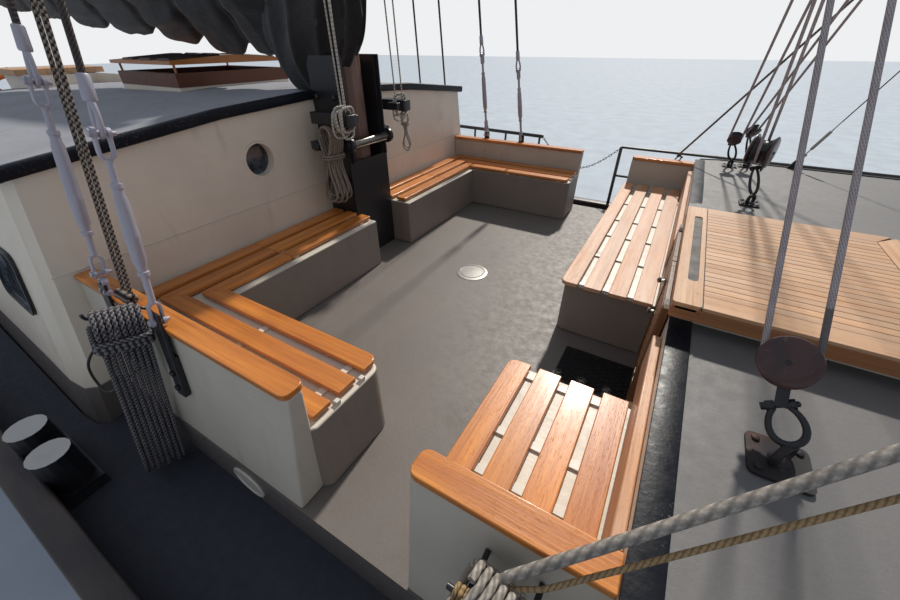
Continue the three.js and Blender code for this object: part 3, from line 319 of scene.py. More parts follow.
def shaded(tree, colour, value, saturation=1.0):
    """A colour made lighter or darker."""
    return add(tree, "HueSaturation", {"Value": value, "Saturation": saturation, "Color": colour}).outputs[0]


def maths(tree, operation, a, b=0.0, clamp=False):
    """Arithmetic on two values."""
    return add(tree, "Math", {0: a, 1: b}, operation=operation, use_clamp=clamp).outputs[0]


def ranged(tree, value, low, high, to_low=0.0, to_high=1.0):
    """A value's range stretched onto another range, held at its ends."""
    names = ("Value", "From Min", "From Max", "To Min", "To Max")
    return add(tree, "MapRange", dict(zip(names, (value, low, high, to_low, to_high)))).outputs[0]


def noise(tree, coordinates, scale, detail=3.0, stretch=None, roughness=0.55):
    """Noise over coordinates that may be stretched along their axes."""
    if stretch:
        coordinates = add(tree, "Mapping", {"Vector": coordinates, "Scale": stretch}).outputs[0]
    values = {"Vector": coordinates, "Scale": scale, "Detail": detail, "Roughness": roughness}
    return add(tree, "TexNoise", values).outputs["Fac"]


def rgb(r, g, b):
    """A colour as seen on screen, from 0 to 255, turned into light."""
    c = np.array([r, g, b]) / 255
    return (*np.where(c < 0.04045, c / 12.92, ((c + 0.055) / 1.055) ** 2.4), 1.0)


def worn_paint():
    """Paint: patches a little lighter and darker, dirt that runs downwards, and fine scuffs."""
    tree, given, out = shader_group(
        "worn_paint",
        [("Place", "v"), ("Paint", "c"), ("Dirt", "c"), ("Dirt Share", "f"), ("Scuffs", "f")],
        [("Color", "c"), ("Roughness", "f"), ("Height", "f")],
    )
    place = given["Place"]
    patches = ranged(tree, noise(tree, place, 1.7, 4), 0.3, 0.7, 0.90, 1.08)
    colour = shaded(tree, given["Paint"], patches)
    runs = ranged(tree, noise(tree, place, 9, 4, (1, 1, 0.12)), 0.52, 0.75)
    blots = ranged(tree, noise(tree, place, 3.1, 6), 0.5, 0.75)
    dirt = maths(tree, "MULTIPLY", maths(tree, "MULTIPLY", runs, blots), given["Dirt Share"], True)
    colour = mixed(tree, dirt, colour, given["Dirt"])
    scratches = ranged(tree, noise(tree, place, 14, 8, (1.0, 0.16, 1.0), 0.7), 0.66, 0.74)
    scuffs = maths(tree, "MULTIPLY", scratches, given["Scuffs"], True)
    colour = mixed(tree, scuffs, colour, shaded(tree, colour, 1.35, 0.8))
    tree.links.new(colour, out["Color"])
    rough = ranged(tree, noise(tree, place, 22, 5), 0.3, 0.7, -0.07, 0.09)
    tree.links.new(maths(tree, "ADD", rough, maths(tree, "MULTIPLY", dirt, 0.25)), out["Roughness"])
    tree.links.new(noise(tree, place, 60, 3), out["Height"])
    return tree


WORN_PAINT = worn_paint()


def grit():
    """Anti-slip paint: sharp grains of two sizes that show as relief and as light and dark specks."""
    tree, given, out = shader_group(
        "grit", [("Place", "v"), ("Size", "f")], [("Shade", "f"), ("Height", "f")]
    )
    fine = noise(tree, given["Place"], given["Size"], 2)
    coarse = noise(tree, given["Place"], maths(tree, "MULTIPLY", given["Size"], 0.37), 3)
    both = maths(tree, "ADD", maths(tree, "MULTIPLY", fine, 0.6), maths(tree, "MULTIPLY", coarse, 0.4))
    tree.links.new(ranged(tree, both, 0.3, 0.7, 0.86, 1.12), out["Shade"])
    tree.links.new(both, out["Height"])
    return tree


GRIT = grit()


def material(name, roughness=0.5, metallic=0.0, coat=0.0, coat_roughness=0.1, sheen=0.0):
    """A node material. Returns it with its tree and its shader."""
    made = bpy.data.materials.new(name)
    made.use_nodes = True
    shader = made.node_tree.nodes["Principled BSDF"]
    shader.inputs["Roughness"].default_value = roughness
    shader.inputs["Metallic"].default_value = metallic
    shader.inputs["Coat Weight"].default_value = coat
    shader.inputs["Coat Roughness"].default_value = coat_roughness
    shader.inputs["Sheen Weight"].default_value = sheen
    return made, made.node_tree, shader


def group_node(tree, group, values):
    """The outputs of a placed shader group with its inputs set."""
    return add(tree, "Group", values, node_tree=group).outputs


def surface(tree, shader, colour, height, depth, roughness=None):
    """Gives a shader its colour, its relief of a depth in metres, and its roughness where that varies."""
    tree.links.new(colour, shader.inputs["Base Color"])
    if roughness is not None:
        tree.links.new(roughness, shader.inputs["Roughness"])
    bump = add(tree, "Bump", {"Height": height, "Distance": depth, "Strength": 1.0})
    tree.links.new(bump.outputs[0], shader.inputs["Normal"])


def place_of(tree):
    """Where a point is on the boat."""
    return add(tree, "TexCoord").outputs["Object"]


def worn(tree, colour, dirt, dirt_share, scuffs):
    """Worn paint of one colour over the place on the boat."""
    values = {
        "Place": place_of(tree), "Paint": colour, "Dirt": dirt, "Dirt Share": dirt_share, "Scuffs": scuffs
    }
    return group_node(tree, WORN_PAINT, values)


GRIME = rgb(96, 84, 66)


def painted(name, colour, roughness=0.45, dirt=GRIME, dirt_share=0.5, scuffs=0.25, metallic=0.0):
    """Brushed paint over steel or wood."""
    made, tree, shader = material(name, roughness, metallic)
    paint = worn(tree, colour, dirt, dirt_share, scuffs)
    surface(
        tree, shader, paint["Color"], paint["Height"], 0.0004,
        maths(tree, "ADD", paint["Roughness"], roughness),
    )
    return made


def dress(made, *names):
    """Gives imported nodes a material."""
    for name in names:
        for slot in NODES[name].material_slots:
            slot.link = "OBJECT"
            slot.material = made


floor_shape = block((-90, 90), (-90, 90), (WATERLINE - 0.2, WATERLINE))
FLOOR = painted("floor", rgb(178, 188, 198), 0.8, scuffs=0.0, dirt_share=0.0)
floor = piece("floor", [floor_shape], FLOOR, body=None)

# Hull: welded steel plating with a flat bottom, painted dark above the water and red-brown below it.
# Anti-slip side decks in a dark blue-grey that is painted shade, low bulwarks whose inboard faces and
# wooden rail are darkened near-black with painted shade, and a strake along each side.
STATIONS = np.array(
    [
        [-14.0, 0.9], [-13.5, 1.4], [-12.7, 1.88], [-11.9, 2.16], [-10.7, 2.4], [-9.5, 2.56], [-8.2, 2.65],
        [-6.8, 2.695], [-4.0, 2.7], [1.0, 2.7], [3.8, 2.7], [6.0, 2.7], [8.5, 2.64], [10.5, 2.4], [12.0, 1.8],
        [12.75, 1.28], [13.35, 0.76], [14.0, 0.15],
    ]
)


def deck_half(x):
    """Half width at the deck edge, straight between stations."""
    return np.interp(x, STATIONS[:, 0], STATIONS[:, 1])


def sheer(x):
    """Height of the deck edge: a parabola aft of the lowest point and a steeper curve ahead of it."""
    x = np.asarray(x, float)
    fore = 1.9 + 0.95 * np.maximum((x + 3) / 17, 0) ** 2.4
    return np.where(x > -3, fore, 1.9 + 0.42 * ((x + 3) / 11) ** 2)


def deck_edge(x):
    """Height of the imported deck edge, straight between stations."""
    return np.interp(x, STATIONS[:, 0], sheer(STATIONS[:, 0]))


def bulwark_rise(x):
    """Height of the bulwark over the deck edge: low amidships, higher at the bow and the stern."""
    return 0.15 + 0.33 * np.clip((x - 6) / 6, 0, 1) + 0.2 * np.clip((-9.5 - x) / 3, 0, 1)


def zone_paint(name, base, zones, roughness=0.5, dirt=GRIME, dirt_share=0.5, scuffs=0.25):
    """Paint in zones. Each zone is (mask function, colour, share of grit), laid over the ones before it."""
    made, tree, shader = material(name, roughness)
    place = add(tree, "SeparateXYZ", {"Vector": place_of(tree)}).outputs
    looks = add(tree, "SeparateXYZ", {"Vector": add(tree, "NewGeometry").outputs["True Normal"]}).outputs
    colour, gritty = base, 0.0
    for mask_of, paint, share in zones:
        mask = mask_of(tree, place, looks)
        colour = mixed(tree, mask, colour, paint)
        rest = maths(tree, "MULTIPLY", gritty, maths(tree, "SUBTRACT", 1.0, mask))
        gritty = maths(tree, "ADD", rest, maths(tree, "MULTIPLY", mask, share))
    grains = group_node(tree, GRIT, {"Place": place_of(tree), "Size": 320.0})
    shade = maths(
        tree, "ADD", maths(tree, "MULTIPLY", maths(tree, "SUBTRACT", grains["Shade"], 1.0), gritty), 1.0
    )
    paint = worn(tree, colour, dirt, dirt_share, scuffs)
    rough = maths(tree, "ADD", maths(tree, "MULTIPLY", gritty, 0.3), roughness)
    height = maths(tree, "ADD", paint["Height"], maths(tree, "MULTIPLY", grains["Height"], gritty))
    rough = maths(tree, "ADD", paint["Roughness"], rough)
    surface(tree, shader, shaded(tree, paint["Color"], shade), height, 0.0006, rough)
    return made


def over(value_name, low, soft=0.004):
    """A mask that is one where a coordinate of the place is above a value."""
    return lambda tree, place, looks: ranged(tree, place[value_name], low - soft, low + soft)


def under(value_name, high, soft=0.004):
    """A mask that is one where a coordinate of the place is below a value."""
    return lambda tree, place, looks: ranged(tree, place[value_name], high - soft, high + soft, 1.0, 0.0)


def facing_up(tree, place, looks):
    """A mask that is one on faces that look upwards."""
    return ranged(tree, looks["Z"], 0.6, 0.75)


def both(*masks):
    """The share where every mask is one."""

    def joined(tree, place, looks):
        share = masks[0](tree, place, looks)
        for mask in masks[1:]:
            share = maths(tree, "MULTIPLY", share, mask(tree, place, looks))
        return share

    return joined


def inboard(tree, place, looks):
    """A mask that is one on upright faces that look towards the centreline."""
    return ranged(tree, maths(tree, "MULTIPLY", looks["Y"], place["Y"]), -0.9, -0.6, 1.0, 0.0)


# Painted shade: the side decks get a dark blue-grey and the bulwarks' inboard faces a near-black brown, both
# darker than their paint, to stand for the shade they lie in.
TOPSIDE, BOTTOM_PAINT, SIDE_DECK_PAINTED_SHADE = rgb(38, 41, 47), rgb(92, 42, 34), rgb(48, 52, 62)
BULWARK_PAINTED_SHADE, DECK_GREY, PLINTH = rgb(40, 32, 32), rgb(112, 104, 98), rgb(112, 104, 100)
HULL_PAINT = zone_paint(
    "hull_paint", TOPSIDE,
    [
        (under("Z", WATERLINE - 0.06), BOTTOM_PAINT, 0.0),
        (both(facing_up, over("Z", 1.8)), SIDE_DECK_PAINTED_SHADE, 1.0),
        (both(inboard, over("Z", 1.75)), BULWARK_PAINTED_SHADE, 0.0),
    ],
    0.42, dirt=rgb(70, 62, 52),
)
dress(HULL_PAINT, "hull")


def wood_grain():
    """Sawn wood: broad bands and fine streaks along the grain, dark pores, and a shade for each plank."""
    tree, given, out = shader_group(
        "wood_grain",
        [("Grain", "v"), ("Tone", "f"), ("Light", "c"), ("Dark", "c"), ("Age", "c"), ("Age Share", "f")],
        [("Color", "c"), ("Roughness", "f"), ("Height", "f")],
    )
    shift = add(tree, "CombineXYZ", {"X": maths(tree, "MULTIPLY", given["Tone"], 37.0)}).outputs[0]
    place = add(tree, "VectorMath", {0: given["Grain"], 1: shift}, operation="ADD").outputs[0]
    bands = noise(tree, place, 1.0, 3, (0.9, 22, 22))
    streaks = noise(tree, place, 1.0, 4, (3.2, 130, 130), 0.65)
    share = maths(tree, "ADD", maths(tree, "MULTIPLY", bands, 0.55), maths(tree, "MULTIPLY", streaks, 0.45))
    share = ranged(tree, share, 0.32, 0.68)
    colour = mixed(tree, share, given["Dark"], given["Light"])
    pores = ranged(tree, noise(tree, place, 1.0, 2, (26, 520, 520)), 0.62, 0.74)
    colour = mixed(tree, maths(tree, "MULTIPLY", pores, 0.5), colour, shaded(tree, colour, 0.55))
    colour = shaded(tree, colour, ranged(tree, given["Tone"], 0.0, 1.0, 0.86, 1.14))
    patches = ranged(tree, noise(tree, place, 1.0, 4, (2.4, 9, 9)), 0.35, 0.62)
    aged = maths(tree, "MULTIPLY", patches, given["Age Share"], True)
    greyed = mixed(tree, 0.35, given["Age"], colour, "MULTIPLY")
    colour = mixed(tree, aged, colour, greyed)
    tree.links.new(colour, out["Color"])
    tree.links.new(ranged(tree, share, 0.0, 1.0, 0.06, -0.04), out["Roughness"])
    tree.links.new(maths(tree, "SUBTRACT", share, maths(tree, "MULTIPLY", pores, 0.8)), out["Height"])
    return tree


WOOD_GRAIN = wood_grain()


def grain_of(tree):
    """The coordinates along a piece's own grain."""
    return add(tree, "Attribute", attribute_name="grain").outputs["Vector"]


def wooden(name, light, dark, roughness, age, age_share, coat=0.0, grain=grain_of):
    """Wood that follows each plank's grain, or the grain that another function gives."""
    made, tree, shader = material(name, roughness, coat=coat, coat_roughness=0.16)
    tone = add(tree, "Attribute", attribute_name="tone").outputs["Fac"]
    values = {
        "Grain": grain(tree), "Tone": tone, "Light": light, "Dark": dark, "Age": age, "Age Share": age_share
    }
    wood = group_node(tree, WOOD_GRAIN, values)
    surface(
        tree, shader, wood["Color"], wood["Height"], 0.0005, maths(tree, "ADD", wood["Roughness"], roughness)
    )
    return made


VARNISH = wooden(
    "varnished_wood", rgb(232, 150, 62), rgb(170, 92, 30), 0.38, rgb(176, 108, 54), 0.35, coat=0.35
)
# Painted shade: the rail's wood is darkened near-black to stand for the shade it lies in. The skylight's
# beads share it.
RAIL_WOOD_PAINTED_SHADE = wooden("rail_wood_painted_shade", rgb(46, 38, 38), rgb(24, 22, 26), 0.4, rgb(120, 100, 90), 0.3, coat=0.25)

RAIL_PROFILE = oblong((-0.06, 0.06), (0, 0.034), 0.012, 4)
rail_x = np.linspace(-13.9, 13.9, 240)
rail_path = np.stack([rail_x, deck_half(rail_x) - 0.03, deck_edge(rail_x) + bulwark_rise(rail_x)], 1)
for side_name, side in SIDES.items():
    rail = carried(RAIL_PROFILE, rail_path)
    piece(f"bulwark_rail_{side_name}", for_side(side, [rail]), RAIL_WOOD_PAINTED_SHADE, sharp=50)

# Well deck: steel plate with grey anti-slip paint, and a round screwed deck plate in its middle.
DECK_PAINT = zone_paint(
    "deck_paint", PLINTH, [(facing_up, DECK_GREY, 0.7)], 0.34, scuffs=0.6, dirt=rgb(92, 86, 76)
)
dress(DECK_PAINT, "well_deck")
BRIGHT_METAL, tree, shader = material("bright_metal", 0.32, 0.9)
paint = worn(tree, rgb(190, 186, 178), rgb(90, 80, 66), 0.7, 0.5)
surface(tree, shader, paint["Color"], paint["Height"], 0.0004)
DECK_PLATE = (-4.19, 0.03, 2.2)
plate_profile = [
    (0, 0.134), (0.004, 0.132), (0.006, 0.112), (0.003, 0.108), (0.003, 0.098), (0.0065, 0.094),
    (0.008, 0.04), (0.0085, 0.002),
]
piece("deck_plate", [turned(plate_profile, DECK_PLATE, (0, 0, 1), 48)], BRIGHT_METAL, sharp=25)

# Deckhouses: welded steel walls in cream with a grey band at their foot, anti-slip roofs in grey, and the
# skylight's frame in brown.
HOUSE_WALL = rgb(230, 218, 200)
fore_zones = [
    (both(facing_up, over("Z", 2.8)), rgb(110, 108, 107), 0.6),
    (under("Z", 2.2), PLINTH, 0.0),
]
FORE_HOUSE_PAINT = zone_paint("forward_house_paint", HOUSE_WALL, fore_zones, 0.42, scuffs=0.35)
dress(FORE_HOUSE_PAINT, "forward_deckhouse")
aft_zones = [
    (both(facing_up, over("Z", 3.1)), rgb(150, 152, 158), 1.0),
    (both(over("Z", 3.527), over("X", -7.62), under("X", -6.63)), rgb(104, 56, 32), 0.0),
    (under("Z", 2.2), PLINTH, 0.0),
]
AFT_HOUSE_PAINT = zone_paint("aft_house_paint", HOUSE_WALL, aft_zones, 0.42, scuffs=0.35)
dress(AFT_HOUSE_PAINT, "aft_deckhouse")
WELL_PAINT = painted("well_furniture_paint", rgb(196, 188, 174), 0.42, scuffs=0.4)
# Painted shade: the bench boxes' fronts and ends are a darker grey-brown than their cream tops, to stand for
# the shade on them.
BENCH_PAINT_SHADED_SIDES = zone_paint(
    "bench_box_paint_shaded_sides", rgb(138, 126, 116), [(facing_up, rgb(214, 204, 188), 0.0)], 0.46, dirt=rgb(70, 60, 52),
    dirt_share=0.5, scuffs=0.6,
)

# Well furniture: benches folded and welded from steel plate, with leaning side panels that run into them.
# Their corners are pressed round, and the panel ends are raked and dressed smooth.
SEAT_TOP, FORE_SEAT_TOP, PANEL_TOP = 2.64, 2.605, 2.829
PLANK, BEARER = 0.026, 0.01
CLEAR = 0.0003
ON_DECK = 2.2 + CLEAR
PANEL_SECTION = {"foot": (1.965, 2.095), "top": (1.945, 2.012)}


def well_panel(aft, foot_fore, cap_fore):
    """A leaning side panel: a four-cornered section drawn from its aft end to its raked forward end."""
    (foot_in, foot_out), (top_in, top_out) = PANEL_SECTION["foot"], PANEL_SECTION["top"]
    rings = []
    for foot_x, top_x in ((aft, aft), (foot_fore, cap_fore)):
        foot = [(foot_x, foot_in, ON_DECK), (foot_x, foot_out, ON_DECK)]
        rings.append(foot + [(top_x, top_out, PANEL_TOP), (top_x, top_in, PANEL_TOP)])
    rings = np.array(rings)
    points = rings.reshape(-1, 3)
    return points, skin(rings), points.copy()


BOX_TOP = SEAT_TOP - PLANK - BEARER - CLEAR
FORE_BOX_TOP = FORE_SEAT_TOP - PLANK - BEARER - CLEAR
AFT_BOX_OUTLINE = [
    (-5.4597, 0.2303), (-4.97, 0.2303), (-4.97, 1.545), (-3.85, 1.545), (-3.85, 1.945), (-3.88, 1.975),
    (-5.4597, 1.975),
]
AFT_BOX_RADII = [0, 0, 0, 0.07, 0, 0, 0]
# Inner ends of the forward box and of its slats. The port bench runs on past the doorway's port half.
FORE_INNER = {"port": (-0.35, -0.395), "starboard": (1.19, 1.195)}
for side_name, side in SIDES.items():
    aft_box = plate(rounded(AFT_BOX_OUTLINE, AFT_BOX_RADII, 9), ON_DECK, BOX_TOP)
    inner = FORE_INNER[side_name][0]
    fore_outline = [(-3.345, inner), (-3.345, 1.975), (-2.7803, 1.975), (-2.7803, inner)]
    fore_box = plate(rounded(fore_outline, [0.07, 0, 0, 0], 9), ON_DECK, FORE_BOX_TOP)
    for end, box in {"aft": aft_box, "forward": fore_box}.items():
        piece(
            f"{end}_bench_steel_{side_name}", for_side(side, [box]), BENCH_PAINT_SHADED_SIDES,
            replaces=[f"{end}_bench_box_{side_name}"], bevel=0.012, segments=3,
        )
    panels = for_side(side, [well_panel(-5.4597, -3.89, -3.85), well_panel(-3.344, -2.7803, -2.7803)])
    piece(f"well_panels_{side_name}", panels, WELL_PAINT, bevel=0.012, segments=3)
    # The varnished rail that is screwed down on each panel, its free end rounded.
    for end, (aft, fore) in {"aft": (-5.45, -3.85), "forward": (-3.344, -2.785)}.items():
        radii = [0.006, 0.036, 0.036, 0.006] if end == "aft" else [0.036, 0.006, 0.006, 0.036]
        outline = oblong((aft, fore), (1.928, 2.024), radii, 8)
        piece(
            f"{end}_panel_rail_{side_name}", for_side(side, [plate(outline, PANEL_TOP + CLEAR, 2.856)]),
            VARNISH, replaces=[f"{end}_panel_cap_{side_name}"], bevel=0.009, segments=3,
        )

# Seat slats: varnished planks on flat steel bearers, mitred where the side bench meets the aft bench.
SIDE_ROWS = [(1.535, 1.635), (1.687, 1.79), (1.834, 1.93)]
AFT_ROWS = [(-5.02, -5.12), (-5.17, -5.275), (-5.32, -5.42)]
FORE_ROWS = [(-3.355, -3.252), (-3.213, -3.11), (-3.069, -2.966), (-2.93, -2.825)]
SLAT_END, AFT_SLAT_END = -3.875, 0.245
SAW_CUT = 0.0015
BEARER_PAINT = painted("bearer_paint", rgb(214, 208, 196), 0.4, scuffs=0.5)
OLD_VARNISH = wooden(
    "weathered_slats", rgb(222, 168, 122), rgb(172, 112, 70), 0.5, rgb(214, 184, 160), 0.75, coat=0.12
)
for side_name, side in SIDES.items():
    planks = []
    for row, ((y0, y1), (x0, x1)) in enumerate(zip(SIDE_ROWS, AFT_ROWS)):
        nose = 0.055 if row == 0 else 0.008
        low, high = SEAT_TOP - PLANK, SEAT_TOP
        side_outline = [(x0 + SAW_CUT, y0), (SLAT_END, y0), (SLAT_END, y1), (x1 + SAW_CUT, y1)]
        planks.append(plate(rounded(side_outline, [0, nose, 0.008, 0], 7), low, high, along=0))
        joint = 0.98 if side > 0 else 1.06
        for from_y, to_y in ((AFT_SLAT_END, joint), (joint + 0.003, None)):
            ends = (y0 - SAW_CUT, y1 - SAW_CUT) if to_y is None else (to_y, to_y)
            outline = [(x0, from_y), (x0, ends[0]), (x1, ends[1]), (x1, from_y)]
            planks.append(plate(outline, low, high, along=1))
    piece(
        f"aft_slats_{side_name}", for_side(side, planks), VARNISH,
        replaces=[f"seat_slats_{side_name}"], bevel=0.0055, segments=3,
    )
    low, high = SEAT_TOP - PLANK - BEARER, SEAT_TOP - PLANK
    steel = [block((x, x + 0.035), (1.54, 1.95), (low, high)) for x in (-3.985, -4.56)]
    steel += [block((-5.43, -5.025), (y, y + 0.035), (low, high)) for y in (1.0, 0.33)]
    steel += [
        block((SLAT_END - 0.004, SLAT_END + 0.018), (y, y + 0.022), (low, low + 0.02)) for y in (1.65, 1.8)
    ]
    piece(f"aft_bearers_{side_name}", for_side(side, steel), BEARER_PAINT, bevel=0.0015)

    inner = FORE_INNER[side_name][1]
    planks = []
    for row, (x0, x1) in enumerate(FORE_ROWS):
        nose = 0.05 if row == 0 else 0.007
        outline = oblong((x0, x1), (inner, 1.898), [nose, 0.007, 0.006, 0.006], 7)
        planks.append(plate(outline, FORE_SEAT_TOP - PLANK, FORE_SEAT_TOP, along=1))
    piece(
        f"forward_slats_{side_name}", for_side(side, planks), OLD_VARNISH if side > 0 else VARNISH,
        replaces=[f"forward_seat_slats_{side_name}"], bevel=0.006, segments=3,
    )
    low, high = FORE_SEAT_TOP - PLANK - BEARER, FORE_SEAT_TOP - PLANK
    rows = [1.225, 1.555, 1.74] if side < 0 else [-0.34, 0.1, 0.5, 0.86, 1.3, 1.74]
    steel = [block((-3.34, -2.83), (y, y + 0.035), (low, high)) for y in rows]
    piece(f"forward_bearers_{side_name}", for_side(side, steel), BEARER_PAINT, bevel=0.0015)

# Back board: one long board screwed to the deckhouse wall over the forward benches.
boards = [
    block((-2.8165, -2.7815), (y0, y1), (2.62, 2.80), along=1) for y0, y1 in ((-1.9, -0.96), (0.12, 1.9))
]
piece("back_boards", boards, OLD_VARNISH, bevel=0.006, segments=3)

# Door mat: a black rubber sheet with a raised net of rings, loose on the deck in front of the doors.
RUBBER, tree, shader = material("mat_rubber", 0.75)
rubber_noise = noise(tree, place_of(tree), 90, 3)
dust = ranged(tree, rubber_noise, 0.45, 0.8)
surface(tree, shader, mixed(tree, dust, rgb(12, 12, 14), rgb(34, 33, 33)), rubber_noise, 0.001)
MAT = {"x": (-3.215, -2.8), "y": (-1.2, -0.5), "thick": 0.011}
mat_shapes = [block(MAT["x"], MAT["y"], (2.2005, 2.2005 + MAT["thick"] * 0.4), 0.012)]
for i, x in enumerate(np.arange(MAT["x"][0] + 0.022, MAT["x"][1] - 0.015, 0.033)):
    for y in np.arange(MAT["y"][0] + 0.02 + 0.019 * (i % 2), MAT["y"][1] - 0.015, 0.038):
        path = oval((x, y, 2.2068), (0.015, 0, 0), (0, 0.015, 0), 10)
        mat_shapes.append(tube(path, 0.0042, 5, closed=True))
piece("door_mat", mat_shapes, RUBBER, sharp=60)

# Roof edges: a flat dark strip welded round the forward roof, and a half-round moulding round the aft roof.
EDGE_PAINT, tree, shader = material("edge_paint", 0.5)
shader.inputs["Specular IOR Level"].default_value = 0.2
paint = worn(tree, rgb(20, 23, 31), rgb(78, 74, 70), 0.3, 0.5)
specks = ranged(tree, noise(tree, place_of(tree), 120, 6, None, 0.75), 0.60, 0.66)
spread = ranged(tree, noise(tree, place_of(tree), 5, 3), 0.4, 0.62)
specks = maths(tree, "MULTIPLY", specks, maths(tree, "MULTIPLY", spread, 0.75))
speckled = mixed(tree, specks, paint["Color"], rgb(150, 148, 146))
surface(tree, shader, speckled, paint["Height"], 0.0008, maths(tree, "ADD", paint["Roughness"], 0.38))


def fore_roof(y):
    """Height of the forward roof across its width."""
    return np.interp(np.abs(y), [0, 0.33, 1.06, 2.142], [2.895, 2.895, 2.884, 2.85])


strip_y = np.concatenate([np.linspace(-2.13, -1.07, 8), np.linspace(1.07, 2.13, 8)])
aft_edge = np.stack([np.full(16, -2.741), strip_y, fore_roof(strip_y) + 0.0015], 1)
strip_section = oblong((-0.042, 0.042), (-0.002, 0.0055), 0.003, 3)
strips = [carried(strip_section, aft_edge)]
side_x = np.concatenate([[-2.74, -2.58], np.linspace(-2.5, 4.65, 12), [4.88]])
side_half = np.interp(side_x, [-2.78, -2.73, -2.58, 4.7, 4.9], [2.142, 2.232, 2.272, 2.272, 2.12]) - 0.036
thin_section = strip_section * (0.22, 1)
side_edge = np.stack([side_x, side_half, fore_roof(2.1) + 0 * side_x + 0.002], 1)
for side in SIDES.values():
    strips += for_side(side, [carried(thin_section, side_edge)])
front_y = np.linspace(-2.05, 2.05, 14)
front_edge = np.stack([np.full(14, 4.85), front_y, fore_roof(front_y) + 0.002], 1)
strips.append(carried(strip_section, front_edge))
piece("forward_roof_strip", strips, EDGE_PAINT, sharp=40)

AFT_EDGE = np.array(
    [
        [-5.445, 2.052, 3.385], [-5.51, 2.067, 3.385], [-5.66, 2.082, 3.385], [-7.5, 2.012, 3.36],
        [-9.5, 1.742, 3.30], [-11.21, 1.402, 3.232], [-11.3, 1.282, 3.23],
    ]
)
moulding_section = oblong((-0.03, 0.024), (-0.05, 0.012), 0.018, 5)
front_corners = [(-2.07, 3.385), (-1.005, 3.494), (-0.3, 3.53), (0.3, 3.53), (1.005, 3.494), (2.07, 3.385)]
front_edge = np.array([(-5.452, y, z) for y, z in front_corners])
mouldings = [carried(moulding_section * (-1, 1), front_edge)]
for side in SIDES.values():
    mouldings += for_side(side, [carried(moulding_section, AFT_EDGE)])
piece("aft_roof_moulding", mouldings, EDGE_PAINT, sharp=40)

# Forward companionway: a sliding teak hatch laid in narrow caulked strips inside a mitred margin, with a
# finger slot to pull it by, and a pair of boarded doors on pins.
TEAK = wooden("bare_teak", rgb(212, 166, 122), rgb(166, 116, 76), 0.55, rgb(214, 188, 160), 0.5)
CAULK = painted("caulk", rgb(46, 40, 36), 0.6, scuffs=0.1)
DOOR_WOOD = wooden("door_wood", rgb(128, 82, 48), rgb(78, 46, 26), 0.42, rgb(140, 104, 74), 0.35, coat=0.2)
HATCH = {"x": (-2.8, -1.869), "y": (-1.005, 0.165), "z": (2.94, 3.01)}
(hx0, hx1), (hy0, hy1), (hz0, hz1) = HATCH.values()
MARGIN = 0.098
SLOT = (-2.741, (-0.80, 0.0))


def ring_plate(outer, inner, low, high):
    """A plate with a hole, from two outlines with as many points. Its grain runs across the boat."""
    levels = ((outer, low), (inner, low), (inner, high), (outer, high))
    rings = np.array([np.c_[outline, np.full(len(outline), z)] for outline, z in levels])
    points = rings.reshape(-1, 3)
    return points, skin(rings, closed=True), points[:, [1, 0, 2]]


fore_margin = [(hx1, hy0), (hx1, hy1), (hx1 - MARGIN, hy1 - MARGIN), (hx1 - MARGIN, hy0 + MARGIN)]
fore_margin = rounded(fore_margin, [0.03, 0.03, 0, 0], 7)
seam = 0.0035
strip_x = (hx0 + MARGIN + seam, hx1 - MARGIN - seam)
near_margin = [
    (strip_x[0], hy0), (hx1 - 0.022 - seam, hy0), (strip_x[1], hy0 + MARGIN), (strip_x[0], hy0 + MARGIN)
]
far_margin = [(x, hy0 + hy1 - y) for x, y in near_margin][::-1]
top = (hz1 - 0.014, hz1)
hatch_shapes = [plate(near_margin, *top), plate(far_margin, *top), plate(fore_margin, *top, along=1)]
strip_edges = np.linspace(hy0 + MARGIN, hy1 - MARGIN, 23)
for y0, y1 in zip(strip_edges[:-1], strip_edges[1:]):
    hatch_shapes.append(block(strip_x, (y0 + seam / 2, y1 - seam / 2), top))
piece("forward_hatch_teak", hatch_shapes, TEAK, "forward_companion_hatch", bevel=0.0012, segments=2)
slot_x, (slot_y0, slot_y1) = SLOT
grip_edges = (slot_x - 0.019, slot_x + 0.019)
hole = oblong(grip_edges, (slot_y0, slot_y1), 0.018, 9)
board = oblong((hx0 - 0.002, hx0 + MARGIN), (hy0, hy1), 0.014, 9)
hatch_edge = ring_plate(board, hole, hz1 - 0.03, hz1)
grip_floor = block(grip_edges, (slot_y0, slot_y1), (hz1 - 0.03, hz1 - 0.024), along=1)
piece(
    "forward_hatch_grip", [hatch_edge, grip_floor], TEAK, "forward_companion_hatch", bevel=0.004,
    segments=3,
)
frame_sides = [
    block((hx0, hx1), (hy0, hy0 + 0.03), (hz0, hz1 - 0.0145), 0.01),
    block((hx0, hx1), (hy1 - 0.03, hy1), (hz0, hz1 - 0.0145), 0.01),
    block((hx0 + 0.001, hx0 + 0.03), (hy0 + 0.02, hy1 - 0.02), (hz0, hz1 - 0.031), 0.004, along=1),
    block((hx1 - 0.03, hx1 - 0.001), (hy0 + 0.02, hy1 - 0.02), (hz0, hz1 - 0.0145), 0.004, along=1),
]
shoes = [block((-2.77, -1.904), (y, y + 0.04), (2.9343, hz0 + 0.004)) for y in (-0.92, 0.04)]
HATCH_SIDE = wooden("hatch_side_teak", rgb(178, 118, 70), rgb(128, 78, 42), 0.5, rgb(170, 130, 96), 0.4)
piece("forward_hatch_frame", frame_sides + shoes, HATCH_SIDE, "forward_companion_hatch", bevel=0.003)
bed = block((hx0 + 0.028, hx1 - 0.004), (hy0 + 0.004, hy1 - 0.004), (hz0 + 0.002, hz1 - 0.006), 0.02)
piece(
    "forward_hatch_caulking", [bed], CAULK, "forward_companion_hatch",
    replaces=["forward_companion_hatch"],
)

